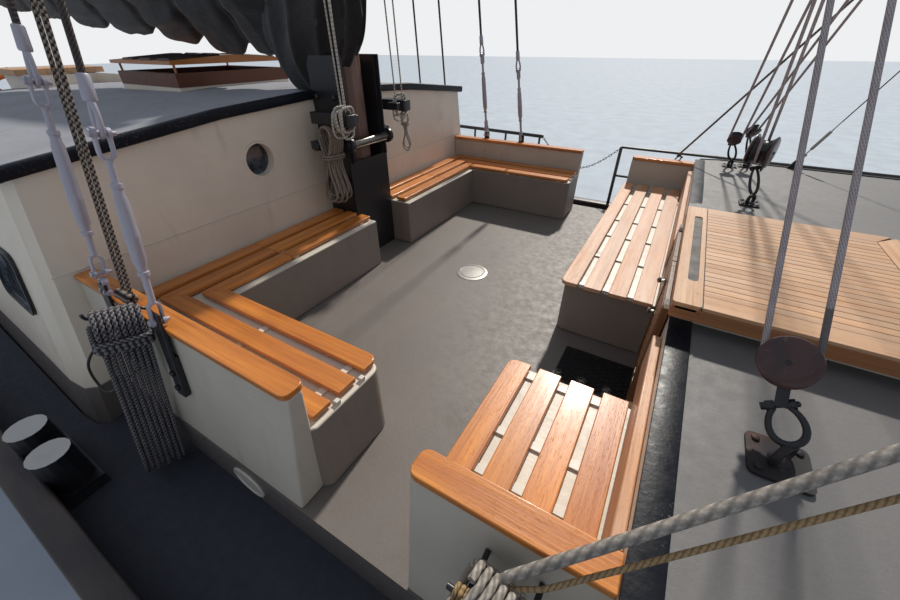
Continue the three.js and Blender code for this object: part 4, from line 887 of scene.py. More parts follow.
# Masts, booms and gaffs: round timber under brown paint and varnish, with black steel bands.
MASTS = {
    "mizzen": {
        "x": -5.32, "r": 0.13, "top_r": 0.065, "hounds": 12.0, "top": 15.5, "bands": [12.0], "pin": 4.2
    },
    "main": {
        "x": 5.9, "r": 0.164, "top_r": 0.07, "hounds": 16.5, "top": 22.5, "bands": [16.5, 20.5], "pin": 4.8
    },
}
BAND_BOLT = [(0, 0.012), (0.012, 0.012), (0.015, 0.008)]


def upright_grain(tree):
    """Grain that runs up a mast."""
    split = add(tree, "SeparateXYZ", {0: place_of(tree)}).outputs
    return add(tree, "CombineXYZ", {"X": split["Z"], "Y": split["X"], "Z": split["Y"]}).outputs[0]


MAST_WOOD = wooden(
    "mast_wood", rgb(150, 112, 96), rgb(104, 76, 64), 0.42, rgb(120, 100, 90), 0.3, coat=0.2,
    grain=upright_grain,
)
SPAR_WOOD = wooden(
    "spar_wood", rgb(158, 106, 66), rgb(104, 62, 38), 0.42, rgb(140, 110, 84), 0.3, coat=0.2, grain=place_of
)
BLACK_STEEL = painted(
    "black_steel_paint", rgb(34, 34, 38), 0.34, dirt=rgb(92, 64, 46), dirt_share=0.45, scuffs=0.6
)
dress(MAST_WOOD, "mizzen_mast", "main_mast")
dress(SPAR_WOOD, "mizzen_boom", "main_boom", "mizzen_gaff", "main_gaff", "bowsprit")


def mast_radius(mast, z):
    """A mast's radius at a height: a quarter slimmer at the hounds, then down to its top."""
    return np.interp(z, [0, mast["hounds"], mast["top"]], [mast["r"], 0.75 * mast["r"], mast["top_r"]])


for mast_name, mast in MASTS.items():
    rings = []
    for z in mast["bands"] + [mast["pin"]]:
        r = mast_radius(mast, z) + (0.0355 if z in mast["bands"] else 0.0125)
        half = 0.062 if z in mast["bands"] else 0.092
        band = [(-half, r - 0.02), (-half, r), (-half + 0.008, r + 0.004)]
        band += [(-d, edge_r) for d, edge_r in band[::-1]]
        rings.append(turned(band, (mast["x"], 0, z), (0, 0, 1), 40))
        for bolt_z in (z - half / 2, z + half / 2):
            rings.append(turned(BAND_BOLT, (mast["x"] + r, 0.04, bolt_z), (1, 0, 0), 6))
    cap = [
        (-0.03, mast["top_r"] + 0.004), (0.0, mast["top_r"] + 0.006), (0.012, mast["top_r"] - 0.005),
        (0.02, 0.01),
    ]
    rings.append(turned(cap, (mast["x"], 0, mast["top"]), (0, 0, 1), 24))
    piece(f"{mast_name}_mast_bands", rings, BLACK_STEEL, sharp=35)

# Tabernacles: black steel boxes, open in front, that hold each mast's heel, with a polished bar across the
# opening and a belaying post on each cheek.
POLISHED, tree, shader = material("polished_bar", 0.34, 1.0)
streaks = noise(tree, place_of(tree), 30, 5, (1, 0.2, 1))
shade = ranged(tree, streaks, 0.3, 0.7)
surface(tree, shader, mixed(tree, shade, rgb(96, 92, 88), rgb(140, 134, 128)), streaks, 0.0003)
TABERNACLES = {
    "mizzen": {"x": MASTS["mizzen"]["x"], "foot": ON_DECK, "height": 1.56, "front": 0.146},
    "main": {"x": MASTS["main"]["x"], "foot": 2.1903, "height": 1.7, "front": 0.19},
}
CHEEK_HALF = 0.23
BAR_END = [(0.214, 0.02), (0.214, 0.05), (0.219, 0.0565), (0.24, 0.0565)]
BAR_END += [(0.246, 0.05), (0.248, 0.03), (0.262, 0.026), (0.266, 0.012)]
BOLT_HEAD = [(0, 0.02), (0.012, 0.02), (0.016, 0.014), (0.022, 0.012), (0.024, 0.006)]
dress(BLACK_STEEL, "mizzen_tabernacle", "main_tabernacle")

for mast_name, box in TABERNACLES.items():
    front = box["x"] + box["front"]
    bar_at = np.array([front + 0.028, 0, box["foot"] + 0.98])
    sleeve = [(-0.215, 0.02), (-0.215, 0.0335), (0.215, 0.0335), (0.215, 0.02)]
    piece(f"{mast_name}_lock_bar", [turned(sleeve, bar_at, (0, 1, 0), 28)], POLISHED)
    fittings = []
    for side in (-1, 1):
        fittings.append(turned([(side * d, r) for d, r in BAR_END], bar_at, (0, 1, 0), 28))
        cheek = side * (CHEEK_HALF + 0.001)
        post_foot = (box["x"], cheek, box["foot"] + 0.99)
        post_end = (box["x"], side * (CHEEK_HALF + 0.178), box["foot"] + 0.99)
        fittings.append(bar(post_foot, post_end, 0.032, 0.027, 16))
        fittings.append(turned([(0, 0.045), (0.006, 0.045), (0.009, 0.04)], post_foot, (0, side, 0), 20))
        cap = [(-0.002, 0.034), (0.006, 0.036), (0.012, 0.03), (0.014, 0.01)]
        fittings.append(turned(cap, post_end, (0, side, 0), 16))
        for x, z in ((-0.09, 0.25), (0.09, 0.25), (-0.09, 0.7), (0.09, 0.7), (-0.09, 1.3), (0.09, 1.3)):
            start = (box["x"] + x, cheek, box["foot"] + z)
            fittings.append(turned(BOLT_HEAD, start, (0, side, 0), 6))
    lip_z = box["foot"] + 0.84
    fittings.append(block((front - 0.012, front + 0.006), (-0.2, 0.2), (lip_z - 0.012, lip_z + 0.004)))
    for side in (-1, 1):
        edge_y = side * (CHEEK_HALF - 0.03)
        edge = [(front - 0.002, edge_y, z) for z in (lip_z, box["foot"] + box["height"])]
        fittings.append(carried(oblong((-0.031, 0.031), (-0.006, 0.006), 0.005, 4), edge, up=(0, 1, 0)))
    piece(f"{mast_name}_tabernacle_fittings", fittings, BLACK_STEEL, sharp=40)

# Sails: dark tanned cloth, lowered, gathered along the boom and tied down with narrow bands.
SAIL_CLOTH, tree, shader = material("tanned_sailcloth", 0.82, sheen=0.25)
place = place_of(tree)
threads = noise(tree, place, 700, 2)
weather = ranged(tree, noise(tree, place, 2.3, 5), 0.35, 0.7)
colour = mixed(tree, weather, rgb(13, 9, 9), rgb(23, 16, 15))
worn_folds = ranged(tree, noise(tree, place, 11, 6, (0.5, 1, 1), 0.65), 0.55, 0.75)
colour = mixed(tree, maths(tree, "MULTIPLY", worn_folds, 0.5), colour, rgb(40, 31, 28))
creases = noise(tree, place, 26, 5, (0.35, 1, 1), 0.6)
surface(tree, shader, colour, maths(tree, "ADD", maths(tree, "MULTIPLY", creases, 6.0), threads), 0.0018)
TIE_WEBBING = painted("tie_webbing", rgb(58, 50, 46), 0.7, scuffs=0.5)
BUNDLES = {
    "mizzen": {
        "sections": [
            (-5.72, 0.13, 3.79, 4.64), (-6.1, 0.26, 3.73, 4.79), (-7.4, 0.25, 3.85, 4.79),
            (-9.2, 0.2, 4.01, 4.79), (-10.8, 0.15, 4.17, 4.7), (-11.9, 0.1, 4.27, 4.54),
        ],
        "ties": [-6.35, -7.0, -7.75, -8.6, -9.5, -10.4, -11.3],
    },
    "main": {
        "sections": [
            (5.43, 0.15, 4.4, 5.43), (4.9, 0.3, 4.33, 5.56), (2.6, 0.31, 4.48, 5.68), (0.0, 0.25, 4.76, 5.78),
            (-1.7, 0.19, 4.98, 5.7), (-2.7, 0.12, 5.15, 5.56),
        ],
        "ties": [4.6, 3.6, 2.6, 1.6, 0.6, -0.4, -1.3, -2.1],
    },
}


def bundle_at(bundle, x):
    """Half width, middle height and half height of a furled sail at places along it."""
    table = np.array(bundle["sections"])[::-1]
    half, low, high = (np.interp(x, table[:, 0], table[:, k]) for k in (1, 2, 3))
    return half, (low + high) / 2, (high - low) / 2


def furled(bundle, rows=360, around=120):
    """A furled sail: an oval tube round its boom and gaff.

    At distance s along the sail and angle a round it, the radius is a share of the oval that sums four waves:
    five broad rolls whose crests are sharp, seven and eleven narrower folds whose phases wander along s, and
    creases that fan out from each tie and die away over a quarter of a metre. Each tie draws the cloth in,
    and between two ties the underside hangs down by a share of half a sine."""
    x_ends = bundle["sections"][0][0], bundle["sections"][-1][0]
    x = np.linspace(*x_ends, rows)[:, None]
    a = (np.arange(around) * 2 * np.pi / around)[None]
    half, middle, rise = bundle_at(bundle, x)
    s = x_ends[0] - x
    wander = 0.9 * np.sin(1.1 * s + x_ends[0]) + 0.5 * np.sin(2.7 * s)
    rolls = 1 - 2 * np.abs(np.sin((5 * a + wander + 0.8 * s) / 2)) ** 0.7
    folds = np.sin(7 * a + 2.1 * np.sin(0.9 * s + 1) - 1.7 * s)
    folds = folds + 0.6 * np.sin(11 * a - 2.3 * s + 2 * np.sin(2.1 * s))
    ties = np.array(bundle["ties"])
    from_tie = x[..., None] - ties
    near = from_tie[np.arange(rows), 0, np.abs(from_tie[:, 0]).argmin(-1)][:, None]
    fans = np.sin(9 * a + 14 * near) * np.exp(-np.abs(near) / 0.25)
    pinch = 1 - 0.13 * np.exp(-((near / 0.06) ** 2))
    share = (0.88 + 0.075 * rolls + 0.03 * folds + 0.025 * fans) * pinch
    gaps = np.sort(ties)
    slot_number = np.clip(np.searchsorted(gaps, x), 1, len(gaps) - 1)
    along = np.clip((x - gaps[slot_number - 1]) / (gaps[slot_number] - gaps[slot_number - 1]), 0, 1)
    hang = 0.035 * np.sin(np.pi * along) * np.clip(-np.sin(a), 0, 1)
    ends = np.sqrt(np.clip(np.minimum((s + 0.02) / 0.12, (s[-1] - s + 0.02) / 0.12), 0, 1))
    share = share * (0.35 + 0.65 * ends)
    y = half * np.cos(a) * share
    z = middle + rise * np.sin(a) * share - hang * ends
    points = np.stack([x + 0 * a, y, z], -1)
    flat = points.reshape(-1, 3)
    return points, (flat, skin(points), flat.copy())


for rig_name, bundle in BUNDLES.items():
    cloth_rows, cloth = furled(bundle)
    sail = piece(
        f"{rig_name}_furled_sail", [cloth], SAIL_CLOTH, f"{rig_name}_boom", [f"{rig_name}_sail"],
        sharp=80,
    )
    bands = []
    strap = oblong((-0.0025, 0.0025), (-0.019, 0.019), 0.0015, 3)
    for tie in bundle["ties"]:
        row = np.abs(cloth_rows[:, 0, 0] - tie).argmin()
        ring = cloth_rows[row]
        smooth = sum(np.roll(ring, shift, 0) for shift in (0, 1, -1, 2, -2)) / 5
        middle = smooth.mean(0)
        bands.append(carried(strap, middle + (smooth - middle) * 1.02, up=(1, 0, 0), closed=True))
        knot = smooth[int(0.9 * len(smooth))]
        for tail in (-1, 1):
            end = knot + (0.09 * tail, -0.01, -0.12)
            tail_path = curve([knot, knot + (0.03 * tail, 0.012, -0.03), end], 7)
            bands.append(carried(strap, tail_path, up=(1, 0, 0), size=0.8))
    piece(f"{rig_name}_sail_ties", bands, TIE_WEBBING, f"{rig_name}_boom", sharp=60)


def luff_cloth(rows=90, around=120):
    """The sail's forward edge, gathered round the mast as the hoops came down.

    A closed lobe: at share t from its foot to its head the outline is an oval that runs from the mast's front
    back into the furled sail, its width a power of half a sine of t. Hanging folds run up and down as
    sharp-crested waves round it, and every fold leans with t. The foot is lowest on the starboard side."""
    t = np.linspace(0, 1, rows)[:, None]
    a = (np.arange(around) * 2 * np.pi / around)[None]
    width = np.sin(np.pi * np.clip(t, 0.012, 0.988)) ** 0.32
    folds = 1 - 2 * np.abs(np.sin((13 * a + 2.2 * np.sin(3 * t + 0.7) + 1.2 * np.sin(2 * a)) / 2)) ** 0.6
    rolls = np.sin(3 * a + 9 * t) + 0.6 * np.sin(5 * a - 14 * t + 1)
    share = width * (0.9 + 0.065 * folds + 0.045 * rolls)
    x = -5.5 + (0.47 + 0.05 * np.sin(4 * t)) * np.cos(a) * share
    y = -0.03 + (0.27 + 0.03 * np.sin(5 * t + 1)) * np.sin(a) * share
    droop = 0.16 * (x + 5.35) + 0.1 * np.sin(a) + 0.02 * np.sin(7 * a)
    z = 3.6 + 1.02 * t + droop * (1 - t)
    points = np.stack([x, y, z + 0 * x], -1)
    flat = points.reshape(-1, 3)
    return flat, skin(points), flat.copy()


luff = piece("mizzen_sail_luff", [luff_cloth()], SAIL_CLOTH, None, sharp=80)
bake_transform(luff)

# Shrouds: dark served wire from the hounds down to rigging screws in silver paint, on black chainplates that
# are bolted to the panels and to the topsides.
SILVER = painted(
    "silver_paint", rgb(176, 173, 184), 0.42, dirt=rgb(112, 78, 56), dirt_share=0.55, scuffs=0.5,
    metallic=0.25,
)


def rope_lay():
    """Rope: strands that wind round it, or a plait of two windings, with flecks of a second colour.

    Grain runs along the rope in X and across its section in Y and Z. The winding is the sine of a multiple of
    the angle round the section plus the distance along it in turns of the lay."""
    tree, given, out = shader_group(
        "rope_lay",
        [
            ("Grain", "v"), ("Light", "c"), ("Dark", "c"), ("Turns", "f"), ("Strands", "f"), ("Plait", "f"),
            ("Fleck", "f"),
        ],
        [("Color", "c"), ("Height", "f")],
    )
    split = add(tree, "SeparateXYZ", {0: given["Grain"]}).outputs
    angle = maths(tree, "MULTIPLY", maths(tree, "ARCTAN2", split["Z"], split["Y"]), given["Strands"])
    reach = maths(tree, "MULTIPLY", split["X"], given["Turns"])
    one_way = maths(tree, "SINE", maths(tree, "ADD", angle, reach))
    other_way = maths(tree, "SINE", maths(tree, "SUBTRACT", angle, reach))
    plaited = maths(tree, "MAXIMUM", one_way, other_way)
    height = add(tree, "Mix", {0: given["Plait"], 2: one_way, 3: plaited}, data_type="FLOAT").outputs[0]
    height = ranged(tree, height, -1.0, 1.0)
    fibres = noise(tree, given["Grain"], 900, 2)
    fleck_wave = ranged(tree, maths(tree, "SUBTRACT", one_way, other_way), -0.3, 0.5)
    share = maths(tree, "MULTIPLY", fleck_wave, given["Fleck"])
    base = mixed(tree, share, given["Light"], given["Dark"])
    # Painted shade: the colour darkens down into the grooves between the strands.
    colour = shaded(tree, base, ranged(tree, height, 0.0, 0.7, 0.45, 1.0))
    grime = ranged(tree, noise(tree, given["Grain"], 14, 4), 0.4, 0.8, 1.05, 0.72)
    tree.links.new(shaded(tree, colour, grime), out["Color"])
    tree.links.new(maths(tree, "ADD", height, maths(tree, "MULTIPLY", fibres, 0.25)), out["Height"])
    return tree


ROPE_LAY = rope_lay()


def rope(name, light, dark, radius, strands=3, plait=0.0, fleck=0.0, roughness=0.8):
    """A rope's material: a turn of its lay is about eight radii long."""
    made, tree, shader = material(name, roughness)
    turns = 2 * np.pi * strands / (8 * radius) if not plait else 2 * np.pi / (2.2 * radius)
    values = {"Grain": grain_of(tree), "Light": light, "Dark": dark, "Turns": turns}
    lay = group_node(tree, ROPE_LAY, values | {"Strands": strands, "Plait": plait, "Fleck": fleck})
    surface(tree, shader, lay["Color"], lay["Height"], radius * 0.22)
    return made


WIRE = rope("served_wire", rgb(74, 64, 60), rgb(40, 34, 34), 0.011, strands=6, roughness=0.6)
LUG_REACH, EYE_HALF = 0.06, 0.022
PLATE_BOLT = [(0, 0.015), (0.01, 0.015), (0.014, 0.01)]
PANEL_SLOPE = (2.095 - 2.012) / (PANEL_TOP - 2.2)


def panel_wall(z):
    """Half width of the leaning panel's outer face."""
    return 2.095 - (z - 2.2) * PANEL_SLOPE


def hull_wall(z):
    """Half width of the strake on the topsides."""
    return 2.745 + 0 * z


SHROUDS = {
    "mizzen": [
        (-4.6, panel_wall, 2.5, 2.93), (-5.05, panel_wall, 2.5, 2.93), (-6.0, hull_wall, 1.74, 2.33),
        (-6.45, hull_wall, 1.74, 2.33),
    ],
    "main": [(6.25, hull_wall, 1.85, 2.44), (5.5, hull_wall, 1.85, 2.44), (4.75, hull_wall, 1.85, 2.44)],
}


def jaw(start, along, apart, reach, half):
    """A fork: a flat bar bent to a U, an eye disc round each end and a pin through both."""
    thick, wide = 0.01, 0.024
    out = np.cross(along, apart)
    bend = np.linspace(0, np.pi, 9)
    arms = [(0.0, half), (reach * 0.55, half)]
    arms += [(reach * 0.62 + half * np.sin(t), half * np.cos(t)) for t in bend]
    arms += [(reach * 0.55, -half), (0.0, -half)]
    path = np.array([start + d * along + a * apart for d, a in arms])
    section = oblong((-thick / 2, thick / 2), (-wide / 2, wide / 2), 0.003, 3)
    shapes = [carried(section, path, up=out)]
    for side in (-1, 1):
        near, far = side * (half - thick / 2 - 0.001), side * (half + thick / 2 + 0.001)
        eye = [(near, 0.004), (near, 0.019), (far, 0.019), (far, 0.004)]
        shapes.append(turned(eye, start, apart, 20))
    head = half + thick / 2
    bolt = [
        (-head - 0.016, 0.004), (-head - 0.016, 0.008), (-head, 0.009), (head, 0.009), (head, 0.014),
        (head + 0.009, 0.014), (head + 0.011, 0.01),
    ]
    shapes.append(turned(bolt, start, apart, 12))
    return shapes


def rigging_screw(foot, head, apart, first=0.0, body=(0.2, 0.545)):
    """A closed rigging screw along a shroud: jaw, screw, collared body, screw and jaw, then thimble and
    ferrule. Returns its shapes and the distance along the shroud at which the bare wire begins."""
    along = unit(head - foot)
    apart = unit(apart - np.dot(apart, along) * along)
    low, high = body
    shapes = jaw(foot + first * along, along, apart, 0.1, 0.02)
    rod = [(first + 0.08, 0.004), (first + 0.08, 0.0125), (low + 0.01, 0.0125), (low + 0.01, 0.004)]
    barrel = [
        (low, 0.012), (low, 0.0205), (low + 0.016, 0.0205), (low + 0.018, 0.0165), (low + 0.035, 0.0175),
        (low + 0.055, 0.0235), (low + 0.14, 0.0245), (low + 0.15, 0.0262), (low + 0.165, 0.0245),
        (high - 0.13, 0.0228), (high - 0.06, 0.0215), (high - 0.035, 0.0165), (high - 0.018, 0.0165),
        (high - 0.016, 0.0195), (high, 0.0195), (high, 0.012),
    ]
    upper = [(high - 0.01, 0.004), (high - 0.01, 0.0115), (high + 0.085, 0.0115), (high + 0.085, 0.004)]
    shapes += [turned(part, foot, along, 28) for part in (rod, barrel, upper)]
    pin_at = high + 0.165
    shapes += jaw(foot + pin_at * along, -along, apart, 0.1, 0.021)
    bend = np.linspace(0, 2 * np.pi, 28)[:-1, None]
    width = 0.021 * np.sin(bend) * (1 + 0.25 * np.cos(bend))
    thimble = foot + (pin_at + 0.045 - 0.058 * np.cos(bend)) * along + width * np.cross(along, apart)
    shapes.append(tube(thimble, 0.0085, 10, up=apart, closed=True))
    end = pin_at + 0.095
    ferrule = [
        (end, 0.008), (end, 0.018), (end + 0.006, 0.0205), (end + 0.075, 0.0185), (end + 0.08, 0.015),
        (end + 0.08, 0.008),
    ]
    shapes.append(turned(ferrule, foot, along, 20))
    return shapes, end + 0.078


for mast_name, rows in SHROUDS.items():
    mast = MASTS[mast_name]
    eye_y = mast_radius(mast, mast["hounds"]) + 0.035 + LUG_REACH + EYE_HALF
    eye = np.array([mast["x"], eye_y, mast["hounds"]])
    for side_name, side in SIDES.items():
        plates, screws, wires = [], [], []
        for number, (x, wall, low, high) in enumerate(rows):
            foot = np.array([x, wall(high) + 0.023, high - 0.04])
            middle = (low + high) / 2
            edge = zip((low, low, high, high, middle, middle), (0.0005, 0.03, 0.03, 0.016, 0.016, 0.0005))
            outline = [(wall(z) + off, z) for z, off in edge]
            plates.append(plate(outline, x - 0.032, x + 0.032, plane="yz"))
            for z in (low + 0.05, low + 0.13):
                plates.append(turned(PLATE_BOLT, (x, wall(z) + 0.03, z), (0, 1, 0), 6))
            worked = {"first": 0.09, "body": (0.265, 0.68)} if number % 2 else {}
            shapes, bare = rigging_screw(foot, eye, np.array([0, 1.0, 0]), **worked)
            if number % 2:
                shapes += jaw(foot, unit(eye - foot), np.array([1.0, 0, 0]), 0.075, 0.019)
            screws += shapes
            wires.append(bar(foot + bare * unit(eye - foot), eye, 0.0115, sides=10))
        lug_low, lug_high = eye - (0.021, EYE_HALF, 0.06), eye + (0.021, EYE_HALF, 0.02)
        wires.append(block(*zip(lug_low, lug_high), 0.012))
        piece(f"{mast_name}_chainplates_{side_name}", for_side(side, plates), BLACK_STEEL, bevel=0.003)
        piece(f"{mast_name}_rigging_screws_{side_name}", for_side(side, screws), SILVER, sharp=40)
        piece(
            f"{mast_name}_shroud_wires_{side_name}", for_side(side, wires), WIRE,
            replaces=[f"{mast_name}_shrouds_{side_name}"], sharp=50,
        )
dress(WIRE, "forestay", "jib_stay", "bobstay")

# Main sheet and its neighbours: four tackles that run from eyes on the forward roof up to the main boom.
# Blocks have round cheeks of dark red-brown laminate, black steel straps and shackles, and soft grey rope.
BLOCK_SHELL, tree, shader = material("block_shell", 0.34, coat=0.3)
place = place_of(tree)
shell_tone = ranged(tree, noise(tree, place, 16, 4, (1, 1, 0.3)), 0.3, 0.7)
colour = mixed(tree, shell_tone, rgb(44, 26, 28), rgb(78, 44, 40))
rubs = ranged(tree, noise(tree, place, 60, 6, None, 0.7), 0.6, 0.72)
colour = mixed(tree, maths(tree, "MULTIPLY", rubs, 0.5), colour, rgb(128, 92, 82))
surface(tree, shader, colour, rubs, 0.0004)
SHEET_ROPE = rope(
    "sheet_rope", rgb(194, 184, 184), rgb(152, 142, 142), 0.0085, strands=8, plait=0.4, fleck=0.15
)
RUSTY_STEEL = painted(
    "rusty_steel", rgb(46, 42, 44), 0.55, dirt=rgb(132, 72, 40), dirt_share=0.95, scuffs=0.7, metallic=0.3
)
BOOM = {"from": np.array([5.62, 0, 4.8]), "to": np.array([-3.6, 0, 5.4]), "r": 0.12}


def boom_at(x):
    """The main boom's middle at a place along it."""
    share = (x - BOOM["from"][0]) / (BOOM["to"][0] - BOOM["from"][0])
    return BOOM["from"] + share * (BOOM["to"] - BOOM["from"])


def frame_of(point, along, turn_by=0.0):
    """A tackle's directions: along it, its sheaves' axle, turned from the line of sight, and across."""
    along = unit(along)
    sight = point - EYE
    level = unit(sight - np.dot(sight, along) * along)
    axis = np.cos(turn_by) * level + np.sin(turn_by) * np.cross(along, level)
    return along, axis, np.cross(along, axis)


def pulley(middle, along, axis, r, half, strap_reach):
    """A block: two dished round cheeks, a sheave between them, an axle with bolt heads, and a forked strap
    that comes out between the cheeks."""
    thick = 0.13 * r
    dish = [(0, r * 0.1), (0, r * 0.95), (thick * 0.35, r), (thick * 0.8, r * 0.985)]
    dish += [(thick * 1.3, r * 0.88), (thick * 1.5, r * 0.55), (thick * 1.55, r * 0.1)]
    wide, deep = half * 0.85, half * 0.3
    groove = [(-wide, 0.2), (-wide, 0.84), (-deep, 0.68), (deep, 0.68), (wide, 0.84), (wide, 0.2)]
    nut = [(0, 0.1 * r), (0.05 * r, 0.09 * r), (0.07 * r, 0.04 * r)]
    section = oblong((-0.2 * r, 0.2 * r), (-0.05 * r, 0.05 * r), 0.02 * r, 3)
    shell, steel = [], [turned([(d, share * r) for d, share in groove], middle, axis, 32)]
    for sign in (-1, 1):
        shell.append(turned(dish, middle + sign * half * axis, sign * axis, 40))
        steel.append(turned(nut, middle + sign * (half + 0.195 * r) * axis, sign * axis, 16))
        leg = [middle + sign * 0.8 * half * axis - d * along for d in (0.7 * r, 1.0 * r, strap_reach)]
        steel.append(carried(section, leg, up=axis))
    return shell, steel


def shackle(top, bottom, axis, r, half):
    """A bow shackle between two points: a round bow, an eye on either end of it, and a pin with a head."""
    along = unit(bottom - top)
    across_it = np.cross(along, axis)
    reach = np.linalg.norm(bottom - top)
    t = np.linspace(-np.pi * 0.94, np.pi * 0.94, 27)
    width = half * (1 + 0.35 * (1 + np.cos(t)) / 2)
    path = bottom + (reach / 2) * (np.cos(t)[:, None] - 1) * along + (width * np.sin(t))[:, None] * across_it
    ends = [top + sign * half * 0.72 * across_it for sign in (-1, 1)]
    path[0], path[-1] = ends
    shapes = [tube(path, r * (1 + 0.12 * np.cos(t)), 12, up=axis)]
    pin = [(-1.25, 0.3), (-1.25, 1.25), (-0.95, 1.3), (-0.9, 0.95), (1.1, 0.95), (1.2, 0.5)]
    shapes.append(turned([(half * d, r * share) for d, share in pin], top, across_it, 16))
    eye = [(-r * 1.2, r * 0.4), (-r * 1.2, r * 1.7), (r * 1.2, r * 1.7), (r * 1.2, r * 0.4)]
    shapes += [turned(eye, end, across_it, 16) for end in ends]
    return shapes


def ring_bolt(at, r_ring, plate_half):
    """An eye welded on a bolted base plate."""
    r_bar = 0.0115
    side_way = np.array([np.cos(0.9), np.sin(0.9), 0.0])
    loop_path = oval(at + (0, 0, r_ring * 0.8), r_ring * side_way, (0, 0, r_ring), 32)
    ring = tube(loop_path, r_bar, 12, up=np.cross(side_way, (0, 0, 1)), closed=True)
    weld = [(-0.004, 0.5), (-0.004, 2.6), (0.004, 2.3), (0.012, 1.5), (0.016, 0.5)]
    boss = turned([(d, r_bar * share) for d, share in weld], at, (0, 0, 1), 20)
    spans = [(at[k] - plate_half, at[k] + plate_half) for k in (0, 1)]
    base = plate(oblong(*spans, plate_half * 0.3, 5), at[2] - 0.008, at[2] + 0.001)
    bolts = []
    for i in (-1, 1):
        for j in (-1, 1):
            start = at + np.array([i, j, 0]) * plate_half * 0.68 + (0, 0, 0.001)
            bolts.append(turned([(0, 0.011), (0.006, 0.011), (0.008, 0.007)], start, (0, 0, 1), 6))
    return [ring, boss, base, *bolts]


# For each tackle: its eye on the roof and that eye's ring and plate, its block's middle, cheek radius and
# half width, the place on the boom it goes to, and the turn of its sheaves' axle.
TACKLES = {
    "near": {
        "eye": (-2.465, -1.49), "block": (-2.515, -1.335, 3.10), "boom": -2.86, "r": 0.073, "half": 0.018
    },
    "middle": {"eye": (-2.42, 0.78), "block": (-2.478, 0.8, 3.235), "boom": -2.7, "r": 0.098, "half": 0.048},
    "far": {"eye": (-2.5, 1.98), "block": (-2.55, 1.88, 3.12), "boom": -2.6, "r": 0.055, "half": 0.02},
    "outer": {"eye": (-2.37, 2.05), "block": (-2.43, 2.0, 3.17), "boom": -2.15, "r": 0.056, "half": 0.02},
}
EYE_RINGS = {"near": (0.034, 0.075), "middle": (0.03, 0.06), "far": (0.024, 0.06), "outer": (0.024, 0.06)}
AXLE_TURNS = {"near": 0.0, "middle": 1.35, "far": 0.0, "outer": 0.9}
FALL_R = PIN_R = 0.0085
half_turn = np.linspace(0, np.pi, 15)
shares = np.linspace(0, 1, 16)[1:-1, None]
for tackle_name, spec in TACKLES.items():
    r, half, (ring_r, plate_half) = spec["r"], spec["half"], EYE_RINGS[tackle_name]
    eye = np.array([*spec["eye"], fore_roof(spec["eye"][1]) + 0.012])
    middle = np.array(spec["block"])
    on_boom = boom_at(spec["boom"]) - (0, 0, BOOM["r"] * 0.88)
    upper = on_boom + 0.17 * unit(middle - on_boom)
    along, axis, across_it = frame_of(middle, upper - middle, AXLE_TURNS[tackle_name])
    reach, bow = (1.72 * r, 0.036) if tackle_name == "near" else (1.35 * r, 0.027)
    shell, steel = pulley(middle, along, axis, r, half, reach)
    shell_top, steel_top = pulley(upper, -along, axis, r, half, 1.35 * r)
    eye_top = eye + (0, 0, ring_r * 1.7)
    bow_axis = across_it if tackle_name in ("middle", "outer") else axis
    steel += shackle(middle - (reach - 0.05 * r) * along, eye_top + (0, 0, 0.012), bow_axis, PIN_R, bow)
    piece(f"{tackle_name}_sheet_block", shell, BLOCK_SHELL, sharp=40)
    piece(f"{tackle_name}_sheet_strap", steel, BLACK_STEEL, sharp=40)
    eye_shapes = ring_bolt(eye, ring_r, plate_half)
    piece(f"{tackle_name}_sheet_eye", eye_shapes, RUSTY_STEEL, sharp=40)
    piece(f"{tackle_name}_boom_block", shell_top, BLOCK_SHELL, "main_boom", sharp=40)
    band_profile = [(-0.04, 0.1), (-0.04, 0.1225), (0.04, 0.1225), (0.04, 0.1)]
    band = turned(band_profile, boom_at(spec["boom"]), unit(BOOM["to"] - BOOM["from"]), 32)
    steel_top += [band] + shackle(upper + 1.33 * r * along, on_boom + (0, 0, -0.005), axis, PIN_R, 0.022)
    piece(f"{tackle_name}_boom_strap", steel_top, BLACK_STEEL, "main_boom", sharp=40)
    # The falls: under the lower sheave, up, over the upper sheave and down again.
    arc = (0.68 * r + FALL_R) * (np.cos(half_turn)[:, None] * across_it + np.sin(half_turn)[:, None] * along)
    lower_arc, upper_arc = middle - arc, upper + arc
    rise = lower_arc[-1] + (upper_arc[0] - lower_arc[-1]) * shares
    fall = upper_arc[-1] + (lower_arc[0] - upper_arc[-1]) * shares
    path = np.concatenate([lower_arc, rise, upper_arc, fall])
    falls = tube(path, FALL_R, 12, up=axis, closed=True)
    sheet = piece(f"{tackle_name}_sheet_falls", [falls], SHEET_ROPE, None, sharp=60)
    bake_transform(sheet)

# Two ropes from the starboard panel's rail up to the main boom: a thick worn one and a thin tan one.
WORN_ROPE = rope("worn_rope", rgb(176, 168, 158), rgb(84, 74, 68), 0.0135, strands=3, fleck=0.35)
TAN_ROPE = rope("tan_rope", rgb(176, 146, 104), rgb(110, 84, 54), 0.006, strands=3, fleck=0.25)
PIN_AT = np.array([-2.945, -2.052, 2.862])
GUY_END = np.array([-3.006, -2.096, 2.813])


def straight(foot, top, count, power=1.0):
    """Points on the line between two ends, closer together near the foot where the power is over one."""
    foot = np.asarray(foot, float)
    return foot + (np.asarray(top, float) - foot) * np.linspace(0, 1, count)[:, None] ** power


